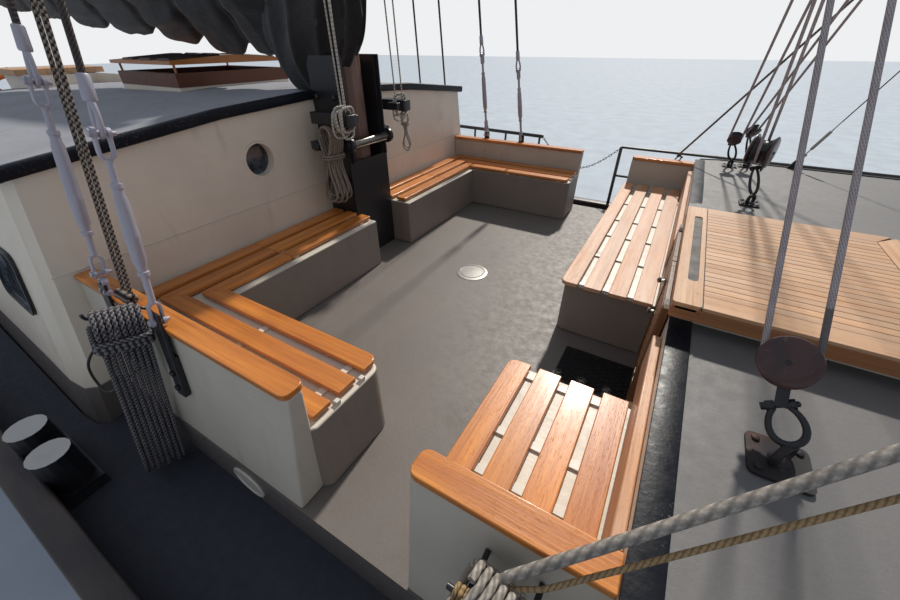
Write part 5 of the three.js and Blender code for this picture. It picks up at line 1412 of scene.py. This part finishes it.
for rope_name, foot, boom_x, radius, look in (
    ("starboard_guy", GUY_END, -0.11, 0.0135, WORN_ROPE),
    ("starboard_lazy_line", PIN_AT + (0.02, -0.03, -0.03), 0.14, 0.0065, TAN_ROPE),
):
    top = boom_at(boom_x) - (0, BOOM["r"] * 0.7, BOOM["r"] * 0.7)
    path = straight(foot, top, 40) - (0, 0, 0.05) * np.sin(np.pi * np.linspace(0, 1, 40)[:, None])
    line = piece(rope_name, [tube(path, radius, 14)], look, None, sharp=60)
    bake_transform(line)
    around = BOOM["r"] * 0.99 + radius
    ring = oval(boom_at(boom_x), (0, around, 0), (0, 0, around), 28)
    loops = [tube(ring + (shift, 0, 0), radius, 10, up=(1, 0, 0), closed=True) for shift in (-radius, radius)]
    piece(f"{rope_name}_hitch", loops, look, "main_boom", sharp=60)


# Companion doors: dark framed leaves with slanting slats, hung on pins. The aft pair is taller, and the
# forward pair's port leaf is short, because a bench stands below it.
DOORS = {
    "forward": {
        "x": -2.816, "top": 2.904, "port": (-0.417, 0.036, 2.621), "starboard": (-0.876, -0.423, 2.296)
    },
    "aft": {"x": -11.336, "top": 3.46, "port": (0.003, 0.361, 2.336), "starboard": (-0.361, -0.003, 2.336)},
}
STILE = 0.055
DOOR_KNOB = [(0, 0.009), (0.012, 0.007), (0.016, 0.014), (0.026, 0.016), (0.032, 0.01), (0.034, 0.002)]
for way_name, way in DOORS.items():
    x0, x1, z1 = way["x"], way["x"] + 0.03, way["top"]
    for side_name in SIDES:
        y0, y1, z0 = way[side_name]
        leaf = f"{way_name}_companion_door_{side_name}"
        stiles = [block((x0, x1), (y, y + STILE), (z0, z1), along=2, plane="xz") for y in (y0, y1 - STILE)]
        inside = (y0 + STILE, y1 - STILE)
        stiles += [block((x0 + 0.001, x1 - 0.001), inside, (z, z + STILE), along=1) for z in (z0, z1 - STILE)]
        slats = []
        for z in np.arange(z0 + STILE, z1 - STILE - 0.036, 0.033):
            section = [
                (x0 + 0.004, z), (x1 - 0.006, z + 0.026), (x1 - 0.006, z + 0.036), (x0 + 0.004, z + 0.01)
            ]
            slats.append(plate(section, inside[0] - 0.004, inside[1] + 0.004, plane="xz", along=1))
        piece(f"{leaf}_frame", stiles, DOOR_WOOD, leaf, [leaf], bevel=0.003)
        piece(f"{leaf}_slats", slats, DOOR_WOOD, leaf, bevel=0.002)
        inner_edge = y0 + 0.03 if side_name == "port" else y1 - 0.03
        knob = turned(DOOR_KNOB, (x0, inner_edge, (z0 + z1) / 2), (-1, 0, 0), 20)
        piece(f"{leaf}_knob", [knob], BRIGHT_METAL, leaf, sharp=50)
dress(DOOR_WOOD, "aft_companion_ladder", "forward_companion_ladder")

# Aft companionway hatch, foredeck lid and skylight: boarded tops, and panes of glass in the skylight.
boards = [
    block((-11.32, -10.535), (y + 0.0012, y + 0.1077), (3.4962, 3.566)) for y in np.linspace(-0.49, 0.3811, 9)
]
piece("aft_hatch_boards", boards, TEAK, "aft_companion_hatch", ["aft_companion_hatch"], bevel=0.005)
boards = [
    block((8.07, 8.83), (y + 0.001, y + 0.0834), (2.4862, 2.531)) for y in np.linspace(-0.38, 0.2956, 9)
]
piece("foredeck_lid_boards", boards, TEAK, "foredeck_hatch_lid", ["foredeck_hatch_lid"], bevel=0.005)
GLASS, tree, shader = material("dark_glass", 0.06, coat=0.5)
# Smears make the glass rougher. Their pale blue-grey colour is partly real smearing and partly a painted
# reflection of the sky.
smears_and_sky = ranged(tree, noise(tree, place_of(tree), 9, 5), 0.4, 0.7)
tree.links.new(mixed(tree, smears_and_sky, rgb(30, 36, 42), rgb(92, 106, 120)), shader.inputs["Base Color"])
tree.links.new(maths(tree, "MULTIPLY", smears_and_sky, 0.16), shader.inputs["Roughness"])
dress(VARNISH, "skylight_lid")


def on_lid(x, y, lift):
    """A point over the skylight's pitched lid."""
    return x, y, 3.715 + 0.035 * (1 - abs(y) / 0.57) + lift


panes, beads = [], []
for side in SIDES.values():
    for x0 in (-7.53, -7.235, -6.94):
        corners = oblong((x0 + 0.02, x0 + 0.2), (0.07, 0.5))
        rings = np.array([[on_lid(x, y, lift) for x, y in corners] for lift in (-0.006, 0.0035)])
        points = rings.reshape(-1, 3)
        panes += for_side(side, [(points, skin(rings), points.copy())])
        rim = [on_lid(x, y, 0.003) for x, y in corners]
        beads += for_side(side, [bar(a, b, 0.009, sides=8) for a, b in zip(rim, rim[1:] + rim[:1])])
piece("skylight_panes", panes, GLASS, "skylight_lid")
piece("skylight_beads", beads, RAIL_WOOD_PAINTED_SHADE, "skylight_lid", sharp=50)

# Porthole: a round opening in the aft house's front wall, its reveal painted, with dark glass deep inside it.
PORTHOLE = np.array([-5.46, -0.8, 3.16])
reveal = [
    (0.0002, 0.1088), (0.0012, 0.122), (0.0042, 0.121), (0.0052, 0.114), (0.0042, 0.1075), (-0.062, 0.1065),
    (-0.062, 0.1078),
]
rim = turned(reveal, PORTHOLE, (1, 0, 0), 48, closed=True)
piece("porthole_rim", [rim], AFT_HOUSE_PAINT, sharp=40)
glass_disc = [(-0.067, 0.002), (-0.067, 0.107), (-0.06, 0.107), (-0.06, 0.002)]
piece("porthole_glass", [turned(glass_disc, PORTHOLE, (1, 0, 0), 48)], GLASS, sharp=40)

# Windows: panes with rounded corners along both deckhouses' leaning sides, in black steel frames.
WINDOW_ROWS = [(x, 2.76, 0.25, 0.17) for x in (-6.0, -7.05, -8.25, -9.45)]
WINDOW_ROWS += [(x, 2.46, 0.24, 0.11) for x in (-1.6, -0.1, 1.4, 2.9, 4.1)]


def window_outline(middle_x, middle_z, half_x, half_z):
    """Points round a rounded rectangle, one for each equal step of angle from its middle."""
    count, radius = 56, 0.06
    a = (np.arange(count) + 0.5) * 2 * np.pi / count
    u, v = np.cos(a), np.sin(a)
    power = 2 + 10 * (1 - radius / min(half_x, half_z))
    scale = (np.abs(u) ** power + np.abs(v) ** power) ** (-1 / power)
    return middle_x + half_x * u * scale, middle_z + half_z * v * scale


WALL_ROWS = {
    "aft": np.array(
        [
            (-11.3, 1.48, 1.26, 3.23), (-9.5, 1.99, 1.72, 3.3), (-7.5, 2.27, 1.99, 3.36),
            (-5.66, 2.325, 2.06, 3.385),
        ]
    ),
    "forward": np.array([(-2.58, 2.33, 2.25, 2.85), (4.7, 2.33, 2.25, 2.85)]),
}


def on_wall(x, z):
    """Points on a deckhouse's port wall, which leans in from its foot up and bends in towards the stern."""
    table = WALL_ROWS["aft" if np.mean(x) < -4 else "forward"]
    half, top_half, edge = (np.interp(x, table[:, 0], table[:, k]) for k in (1, 2, 3))
    y = half + (top_half - half) * (z - 1.9) / (edge - 0.045 - 1.9)
    return np.stack([x, y, z], 1)


frames, panes = [], []
frame_section = oblong((-0.015, 0.015), (-0.004, 0.007), 0.004, 3)
for window in WINDOW_ROWS:
    rim = on_wall(*window_outline(*window)) + (0, 0.003, 0)
    rings = np.array([rim - (0, 0.006, 0), rim])
    points = rings.reshape(-1, 3)
    pane = (points, skin(rings), points.copy())
    for side in SIDES.values():
        frames += for_side(side, [carried(frame_section[:, ::-1], rim, up=(0, 1, 0), closed=True)])
        panes += for_side(side, [pane])
piece("window_frames", frames, BLACK_STEEL, sharp=40)
piece("window_panes", panes, GLASS, sharp=40)

# Weld seam: a bead across the aft house's front wall where two plates meet, painted over.
seam_y = np.linspace(-2.1, 2.1, 90)
seam_z = 2.868 + 0.0012 * np.sin(41 * seam_y) + 0.001 * np.sin(97 * seam_y)
seam_path = np.stack([np.full(90, -5.4597), seam_y, seam_z], 1)
weld = tube(seam_path, 0.0034 + 0.0006 * np.sin(60 * seam_y), 8)
piece("front_wall_weld", [weld], BEARER_PAINT, sharp=80)

# Freeing ports: an oval steel flap over the drain from the well to each side deck, hung inside a raised rim.
flaps = []
for side in SIDES.values():
    rim = oval((-4.3, 2.1035, 2.062), (0.105, 0, 0), (0, 0, 0.082), 40)
    flaps += for_side(side, [tube(rim, 0.0065, 8, up=(0, 1, 0), closed=True)])
    dish = [(0.0, 0.099), (0.003, 0.098), (0.0045, 0.08), (0.003, 0.04), (0.0035, 0.002)]
    points, faces, grain = turned(dish, (-4.3, 2.1005, 0), (0, 1, 0), 40)
    flaps += for_side(side, [(points * (1, 1, 0.79) + (0, 0, 2.062), faces, grain)])
piece("freeing_ports", flaps, BEARER_PAINT, sharp=50)

# Bollards: black welded steel, their tops and rims worn pale.
for place_name, top_z in (("well", 2.12), ("bow", 2.5)):
    worn_top = [(both(facing_up, over("Z", top_z)), rgb(196, 194, 190), 0.0)]
    paint = zone_paint(f"bollard_paint_{place_name}", rgb(30, 30, 34), worn_top, 0.4, scuffs=0.6)
    dress(paint, *[f"bollard_{place_name}_{side_name}" for side_name in SIDES])

# Port tube rail: a guard rail aft of the gate on posts of its own, and a slack chain across the gate.
AFT_RAIL_Y = 2.65
rail_parts = [bar((-6.62, AFT_RAIL_Y, 2.852), (-4.545, AFT_RAIL_Y, 2.815), 0.021, sides=16)]
for x in (-6.56, -6.05, -5.53, -5.06, -4.58):
    top_z = 2.815 - 0.018 * (x + 4.545)
    foot_z = float(deck_edge(x) + bulwark_rise(x)) + 0.03
    foot = (x - 0.02, float(deck_half(x)) - 0.03, foot_z)
    rail_parts.append(bar(foot, (x, AFT_RAIL_Y, top_z - 0.01), 0.014, sides=12))
    rail_parts.append(turned([(0, 0.034), (0.006, 0.034), (0.012, 0.018)], foot, (0, 0, 1), 16))
rail_end = [(0, 0.021), (0.008, 0.02), (0.014, 0.012), (0.016, 0.002)]
rail_parts.append(turned(rail_end, (-4.545, AFT_RAIL_Y, 2.815), (1, 0, 0), 16))
piece("port_tube_rail", rail_parts, BLACK_STEEL, sharp=50)
LINKS = 32
t = np.linspace(0, 1, 60)
hang_path = np.stack([-4.535 + 0.965 * t, 0 * t + AFT_RAIL_Y, 2.805 - 0.035 * t - 0.3 * np.sin(np.pi * t)], 1)
reach = distances(hang_path)
link_length = reach[-1] / LINKS
half_length = link_length * 0.5 + 0.005
links = []
for number in range(LINKS):
    at, ahead_of = (
        np.array([np.interp((number + share) * link_length, reach, hang_path[:, k]) for k in range(3)])
        for share in (0.5, 0.6)
    )
    along_it = unit(ahead_of - at)
    flat_way = np.array([0, 1.0, 0]) if number % 2 else np.cross(along_it, (0, 1.0, 0))
    ring = oval(at, half_length * along_it, 0.009 * flat_way, 12)
    links.append(tube(ring, 0.003, 6, up=np.cross(along_it, flat_way), closed=True))
piece("gate_chain", links, RUSTY_STEEL, sharp=80)

# Halyards at the starboard shrouds: two flecked ropes come down between the rigging screws to a steel bow
# welded on the panel. The rest of them hangs from the bow in long bights, with turns of line round its head.
FLECKED_ROPE = rope("flecked_rope", rgb(150, 136, 122), rgb(36, 28, 30), 0.0095, plait=1.0, fleck=1.0)
GREY_ROPE = rope("grey_rope", rgb(126, 122, 124), rgb(42, 40, 46), 0.0095, plait=1.0, fleck=1.0)
BUFF_ROPE = rope("buff_rope", rgb(196, 184, 168), rgb(120, 102, 88), 0.0055, strands=3, fleck=0.3)
CABLE_SKIN = painted("cable_skin", rgb(26, 28, 28), 0.5, scuffs=0.4)


def hank(head, down, side, out, drops, spacing, fold, waist, spread):
    """The route of a rope that hangs in long bights.

    Each bight goes over the head, down in front, round a half circle of radius `fold` and up behind. Between
    its two folds the front and back runs close in to `waist` from the middle, by one wave of a cosine. Each
    bight lies one spacing to the side of the one before, and the bights fan out by a share of how far down
    they are."""
    points = []
    middle = (len(drops) - 1) / 2
    quarter = np.linspace(0, np.pi / 2, 7)
    bend = np.linspace(0, np.pi, 13)
    u = np.linspace(0, 1, 22)[1:-1]
    for number, drop in enumerate(drops):
        run = fold + u * (drop - 2 * fold)
        near = waist + (fold - waist) * (1 + np.cos(2 * np.pi * u)) / 2
        depth = [fold - fold * np.cos(quarter), run, drop - fold + fold * np.sin(bend), run[::-1]]
        offset = [fold * np.sin(quarter), near, fold * np.cos(bend), -near[::-1]]
        step = [0 * quarter, 0 * u, 0 * bend, 0 * u]
        if number < len(drops) - 1:
            depth.append(fold - fold * np.sin(quarter[:-1]))
            offset.append(-fold * np.cos(quarter[:-1]))
            step.append(np.linspace(0, 1, 7)[:-1])
        depth, offset, step = map(np.concatenate, (depth, offset, step))
        lateral = (number - middle + step) * spacing * (1 + spread * depth / drops[0])
        points.append(head + depth[:, None] * down + offset[:, None] * out + lateral[:, None] * side)
    return np.concatenate(points)


def rope_hank(
    name, head, down, side, drops, radius, look, wraps, wrap_look, first_wrap, spread=0.0, fold=6.4, lead=0.0
):
    """A hank as one rope tube, with turns of line round its neck as a piece of their own. It can begin with
    a quarter circle of radius `lead` that comes out of the wall behind it."""
    head, down = np.asarray(head, float), unit(down)
    side = unit(np.asarray(side, float) - np.dot(side, down) * down)
    out = np.cross(side, down)
    spacing, waist = 2.12 * radius, 1.1 * radius
    route = hank(head, down, side, out, drops, spacing, fold * radius, waist, spread)
    if lead:
        swing = np.linspace(0, np.pi / 2, 9)[:-1, None]
        lead_in = route[0] - lead * side + lead * (np.sin(swing) * side - np.cos(swing) * out)
        route = np.concatenate([lead_in, route])
    made = piece(name, [tube(route, radius, 8, up=side)], look, "hull", sharp=70)
    turns = []
    for k in range(wraps):
        depth = first_wrap + k * 2.1 * radius
        share = (depth - fold * radius) / (drops[0] - 2 * fold * radius)
        thick = waist + (fold * radius - waist) * (1 + np.cos(2 * np.pi * share)) / 2 + 2.15 * radius
        wide = (len(drops) - 1) / 2 * spacing * (1 + spread * depth / drops[0]) + 2.15 * radius
        section = oblong((-wide, wide), (-thick, thick), 2.7 * radius, 7)
        ring = head + depth * down + section[:, :1] * side + section[:, 1:] * out
        turns.append(tube(ring, radius, 8, up=down, closed=True))
    wrapped = piece(f"{name}_turns", turns, wrap_look, "hull", sharp=70)
    float(distances(route)[-1])
    return route


HANK_HEAD = np.array([-4.733, -2.10, 2.947])
pin_path = curve(
    [
        (-4.706, -2.0, 2.85), (-4.706, -2.0, 2.89), (-4.711, -2.016, 2.914), (-4.719, -2.045, 2.921),
        (-4.737, -2.11, 2.932), (-4.755, -2.175, 2.944), (-4.758, -2.188, 2.956), (-4.758, -2.19, 2.972),
    ],
    50,
)
piece("shroud_pin", [tube(pin_path, 0.0065, 10, up=(1, 0, 0))], BLACK_STEEL, sharp=60)
hank_drops = [0.97, 0.985, 0.95, 0.98, 0.955, 0.99, 0.965, 0.975]
rope_hank(
    "shroud_hank", HANK_HEAD, (-0.13, -0.135, -0.96), (-0.22, -0.8, 0.14), hank_drops, 0.0095, GREY_ROPE, 3,
    GREY_ROPE, 0.1, 0.12,
)
for name, foot, top, radius in (
    ("peak_halyard", (-4.83, -2.0, 2.935), (-5.4, -0.13, 12.0), 0.0095),
    ("throat_halyard", (-4.89, -2.0, 2.935), (-5.45, -0.13, 12.0), 0.0085),
):
    foot = np.array(foot)
    hitches = []
    for k in range(3):
        ring = oval(foot + (0.02 * (k - 1), -0.012, -0.014), (0, 0.0165, 0), (0, 0, 0.0165), 20)
        hitches.append(tube(ring, radius, 8, up=(1, 0, 0), closed=True))
    fall = tube(straight(foot, top, 150, 1.6), radius, 10, up=(1, 0, 0))
    piece(name, [fall] + hitches, FLECKED_ROPE, sharp=70)

# A black cable beside it: out through a gland in the panel, down in one loop and back in lower down.
cable_route = curve(
    [
        (-4.93, -2.02, 2.74), (-4.95, -2.09, 2.755), (-5.01, -2.16, 2.69), (-5.08, -2.22, 2.59),
        (-5.085, -2.24, 2.5), (-5.0, -2.24, 2.45), (-4.93, -2.2, 2.49), (-4.9, -2.13, 2.535),
        (-4.9, -2.055, 2.54),
    ],
    70,
)
cable = piece("deck_cable", [tube(cable_route, 0.006, 10, up=(0.9, 0.1, 0.2))], CABLE_SKIN, sharp=70)
float(distances(cable_route)[-1])
gland = [(-0.012, 0.004), (-0.012, 0.018), (0.006, 0.018), (0.016, 0.012), (0.016, 0.007)]
glands = [turned(gland, end, (0, -1, 0.1), 18) for end in (cable_route[0], cable_route[-1])]
piece("deck_cable_glands", glands, BLACK_STEEL, sharp=40)

# Starboard panel hank: the end of the worn rope, in short bights on a low cleat outside the panel.
CLEAT_Z = 2.745
rope_hank(
    "panel_hank", (-3.03, -2.15, CLEAT_Z + 0.075), (-0.03, -0.08, -1), (1, -0.1, 0),
    [0.37, 0.39, 0.36, 0.38, 0.37], 0.0105, WORN_ROPE, 2, BUFF_ROPE, 0.09, 0.5,
)
cleat_shapes = [bar((-3.13, -2.16, CLEAT_Z), (-2.9, -2.16, CLEAT_Z), 0.0085, sides=12)]
for x in (-3.08, -2.93):
    prong = curve(
        [
            (x, -2.03, CLEAT_Z - 0.03), (x, -2.09, CLEAT_Z - 0.03), (x, -2.145, CLEAT_Z - 0.015),
            (x, -2.16, CLEAT_Z),
        ],
        12,
    )
    cleat_shapes.append(tube(prong, 0.0085, 10, up=(1, 0, 0)))
piece("panel_cleat", cleat_shapes, BLACK_STEEL, sharp=50)
cleat_turns = []
for k in range(4):
    ring = oval((-3.0 + 0.026 * k, -2.16, CLEAT_Z), (0, 0.0235, 0), (0.006, 0, 0.024 + 0.004 * (k % 2)), 24)
    cleat_turns.append(tube(ring, 0.0125, 10, up=(1, 0, 0), closed=True))
lead = curve(
    [
        GUY_END, GUY_END + (-0.02, -0.02, -0.016), (-3.03, -2.15, CLEAT_Z + 0.045),
        (-3.015, -2.178, CLEAT_Z + 0.022),
    ],
    16,
)
piece("panel_cleat_turns", cleat_turns + [tube(lead, 0.0135, 10)], WORN_ROPE, sharp=70)
turns = []
for k in range(3):
    ring = oval((-3.105 + 0.0135 * k, -2.16, CLEAT_Z), (0, 0.0155, 0), (0, 0, 0.0155), 24)
    turns.append(tube(ring, 0.0065, 8, up=(1, 0, 0), closed=True))
tail = curve(
    [
        PIN_AT + (0.02, -0.03, -0.03), (-2.99, -2.11, 2.8), (-3.06, -2.165, CLEAT_Z + 0.03),
        (-3.09, -2.176, CLEAT_Z),
    ],
    24,
)
piece("panel_line_turns", turns + [tube(tail, 0.0065, 8)], TAN_ROPE, sharp=70)

# Ropes at the mizzen's tabernacle: each cheek carries a thick black cleat with the halyard's turns heaped on
# it. The rest of the rope hangs below in a hank, thick and grey-brown to starboard and thin to port.
HANK_ROPE = rope("hank_rope", rgb(168, 152, 136), rgb(92, 78, 68), 0.009, strands=3, fleck=0.5)
HALYARD_ROPE = rope("halyard_rope", rgb(214, 206, 192), rgb(136, 122, 110), 0.0085, strands=3, fleck=0.3)
CLEATS = {
    "starboard": {
        "x": (-5.36, -4.98), "y": 0.335, "z": 3.385, "heap": -5.07, "hank": -5.215, "r": 0.0085, "turns": 6
    },
    "port": {
        "x": (-5.24, -4.99), "y": 0.335, "z": 3.41, "heap": -5.07, "hank": -5.03, "r": 0.0065, "turns": 4
    },
}
for side_name, side in SIDES.items():
    spec = CLEATS[side_name]
    y, r = side * spec["y"], spec["r"]
    body = plate(oblong(spec["x"], (y - 0.045, y + 0.045), 0.012, 4), spec["z"] - 0.045, spec["z"] + 0.035)
    stem_y = sorted((side * CHEEK_HALF, y - side * 0.03))
    stem = block((spec["heap"] - 0.05, spec["heap"] + 0.05), stem_y, (spec["z"] - 0.03, spec["z"] + 0.02))
    piece(f"tabernacle_cleat_{side_name}", [body, stem], BLACK_STEEL, bevel=0.006, segments=2)
    a = np.arange(32) * 2 * np.pi / 32
    wraps = []
    for k in range(spec["turns"]):
        shift = (k - (spec["turns"] - 1) / 2) * 2.1 * r
        tall, wide, sag = 0.056 + 0.011 * (k % 3), 0.064 + 0.008 * (k % 2), 0.03 * ((k + 1) % 3)
        square = np.abs(np.cos(a)) ** 4 + np.abs(np.sin(a)) ** 4
        ring_y = y + wide * np.cos(a) / square**0.25
        ring_z = spec["z"] + tall * np.sin(a) / square**0.25 - sag * (1 - np.sin(a)) / 2
        ring = np.stack([spec["heap"] + shift + 0.012 * np.sin(a + k), ring_y, ring_z], 1)
        wraps.append(tube(ring, r, 8, up=(1, 0, 0), closed=True))
    for dx, turn_in in ((0.03, 0.0), (-0.025, 0.02)):
        foot = np.array([spec["heap"] + dx, y - side * turn_in, spec["z"] + 0.05])
        top = np.array([MASTS["mizzen"]["x"] + 2 * dx, side * 0.11, 11.9])
        fall_r = 0.0085 if dx > 0 and side < 0 else 0.0055
        wraps.append(tube(straight(foot, top, 120, 1.6), fall_r, 8, up=(1, 0, 0)))
    piece(f"tabernacle_halyards_{side_name}", wraps, HALYARD_ROPE, sharp=70)
    if side < 0:
        drops = [0.55, 0.52, 0.57, 0.53, 0.56, 0.5, 0.54]
        hank_r, look, tie, lead = 0.009, HANK_ROPE, 0.2, 0.04
    else:
        drops = [0.31, 0.29]
        hank_r, look, tie, lead = 0.0055, BUFF_ROPE, 0.09, 0.08
    head = (spec["hank"], side * (0.345 if side < 0 else 0.336), spec["z"] - 0.045 - hank_r - 0.002)
    rope_hank(
        f"tabernacle_hank_{side_name}", head, (0, 0.03 * side, -1), (0, side, 0), drops, hank_r, look, 2,
        look, tie, 0.4, lead=lead,
    )

# Port side rigging: a guy from a black fitting on the port panel up to the main mast's hounds, and a thin
# wire with a turnbuckle from a triangular plate on the roof's port edge up towards the masthead.
GUY_FOOT, GUY_TOP = np.array([-2.952, 2.062, 2.83]), np.array([5.75, 0.16, 16.45])
guy_way = unit(GUY_TOP - GUY_FOOT)
guy_path = straight(GUY_FOOT, GUY_TOP, 120) + (0, 0, 0.05)
piece("port_guy", [tube(guy_path, 0.009, 10, up=(0, 1, 0))], FLECKED_ROPE, sharp=70)
fitting = [bar(GUY_FOOT - (0, 0.03, 0.03), GUY_FOOT + (0, 0, 0.01), 0.012, 0.012, 12)]
fitting += shackle(GUY_FOOT + 0.065 * guy_way, GUY_FOOT, np.array([0, 1.0, 0]), 0.006, 0.016)
piece("port_guy_fitting", fitting, BLACK_STEEL, sharp=50)
PLATE_FOOT, WIRE_TOP = np.array([-1.99, 2.2, 2.846]), np.array([5.85, 0.1, 21.3])
wire_way = unit(WIRE_TOP - PLATE_FOOT)
plate_shape = rounded([(-0.05, 0), (0.05, 0), (0.022, 0.09), (-0.01, 0.09)], [0.004, 0.004, 0.014, 0.014], 5)
points, groups, grain = plate(plate_shape, -0.005, 0.005)
points = PLATE_FOOT + np.stack([points[:, 0], -points[:, 2], points[:, 1]], 1)
piece("roof_edge_plate", [(points, groups, grain)], BLACK_STEEL, sharp=40)
wire_from = PLATE_FOOT + (0.006, 0, 0.075)
at = [wire_from + d * wire_way for d in (0.0, 0.07, 0.12, 0.3, 0.38)]
turnbuckle = shackle(at[1], at[0], np.array([0, 1.0, 0]), 0.005, 0.013)
body = [(0, 0.006), (0.004, 0.012), (0.02, 0.013), (0.16, 0.013), (0.176, 0.012), (0.18, 0.006)]
turnbuckle += [bar(at[1], at[2], 0.005, 0.005, 10), turned(body, at[2], wire_way, 16)]
turnbuckle.append(bar(at[3], at[4], 0.005, 0.004, 10))
piece("roof_edge_turnbuckle", turnbuckle, BRIGHT_METAL, sharp=50)
piece(
    "roof_edge_wire", [tube(straight(at[4], WIRE_TOP, 120), 0.0045, 8, up=(0, 1, 0))], BLACK_STEEL,
    sharp=70,
)

# Ground tackle and steering gear: galvanised anchors, a windlass with a black frame and a galvanised drum, a
# varnished wheel and gear box, a bronze propeller, and oak leeboards.
GALVANISED = painted(
    "galvanised", rgb(120, 122, 122), 0.5, dirt=rgb(120, 78, 50), dirt_share=0.7, scuffs=0.5, metallic=0.6
)
dress(GALVANISED, "anchor_port", "anchor_starboard", "windlass_drum")
dress(BLACK_STEEL, "windlass_frame", "guard_rail_port", "guard_rail_starboard")
BRONZE = painted("bronze", rgb(150, 104, 56), 0.36, dirt=rgb(70, 96, 78), dirt_share=0.5, metallic=0.9)
dress(BRONZE, "propeller")
dress(VARNISH, "steering_gear_box", "steering_wheel")
PLANK_OAK = wooden(
    "leeboard_oak", rgb(150, 96, 52), rgb(98, 58, 30), 0.45, rgb(120, 96, 72), 0.4, coat=0.15, grain=place_of
)
dress(PLANK_OAK, "leeboard_port", "leeboard_starboard")
dress(HULL_PAINT, "rudder")
# The box over the steering gear has stiles and rails round its sides, and a lid that overhangs.
(gear_x0, gear_y0, gear_z0), (gear_x1, gear_y1, gear_z1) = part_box("steering_gear_box")
GEAR_STILE, PROUD = 0.07, 0.009
frames = []
for z0, z1 in ((gear_z0 + 0.01, gear_z0 + 0.09), (gear_z1 - 0.09, gear_z1 - 0.012)):
    for y in (gear_y0 - PROUD, gear_y1):
        frames.append(block((gear_x0, gear_x1), (y, y + PROUD), (z0, z1)))
for x0 in (gear_x0, gear_x1 - GEAR_STILE):
    for y in (gear_y0 - PROUD, gear_y1):
        frames.append(block((x0, x0 + GEAR_STILE), (y, y + PROUD), (gear_z0 + 0.09, gear_z1 - 0.09)))
piece("steering_gear_frames", frames, VARNISH, bevel=0.003)
lid_outline = oblong((gear_x0 - 0.02, gear_x1 + 0.02), (gear_y0 - 0.025, gear_y1 + 0.025), 0.02, 5)
lid = plate(lid_outline, gear_z1 - 0.012, gear_z1 + 0.012)
piece("steering_gear_lid", [lid], VARNISH, bevel=0.006, segments=2)
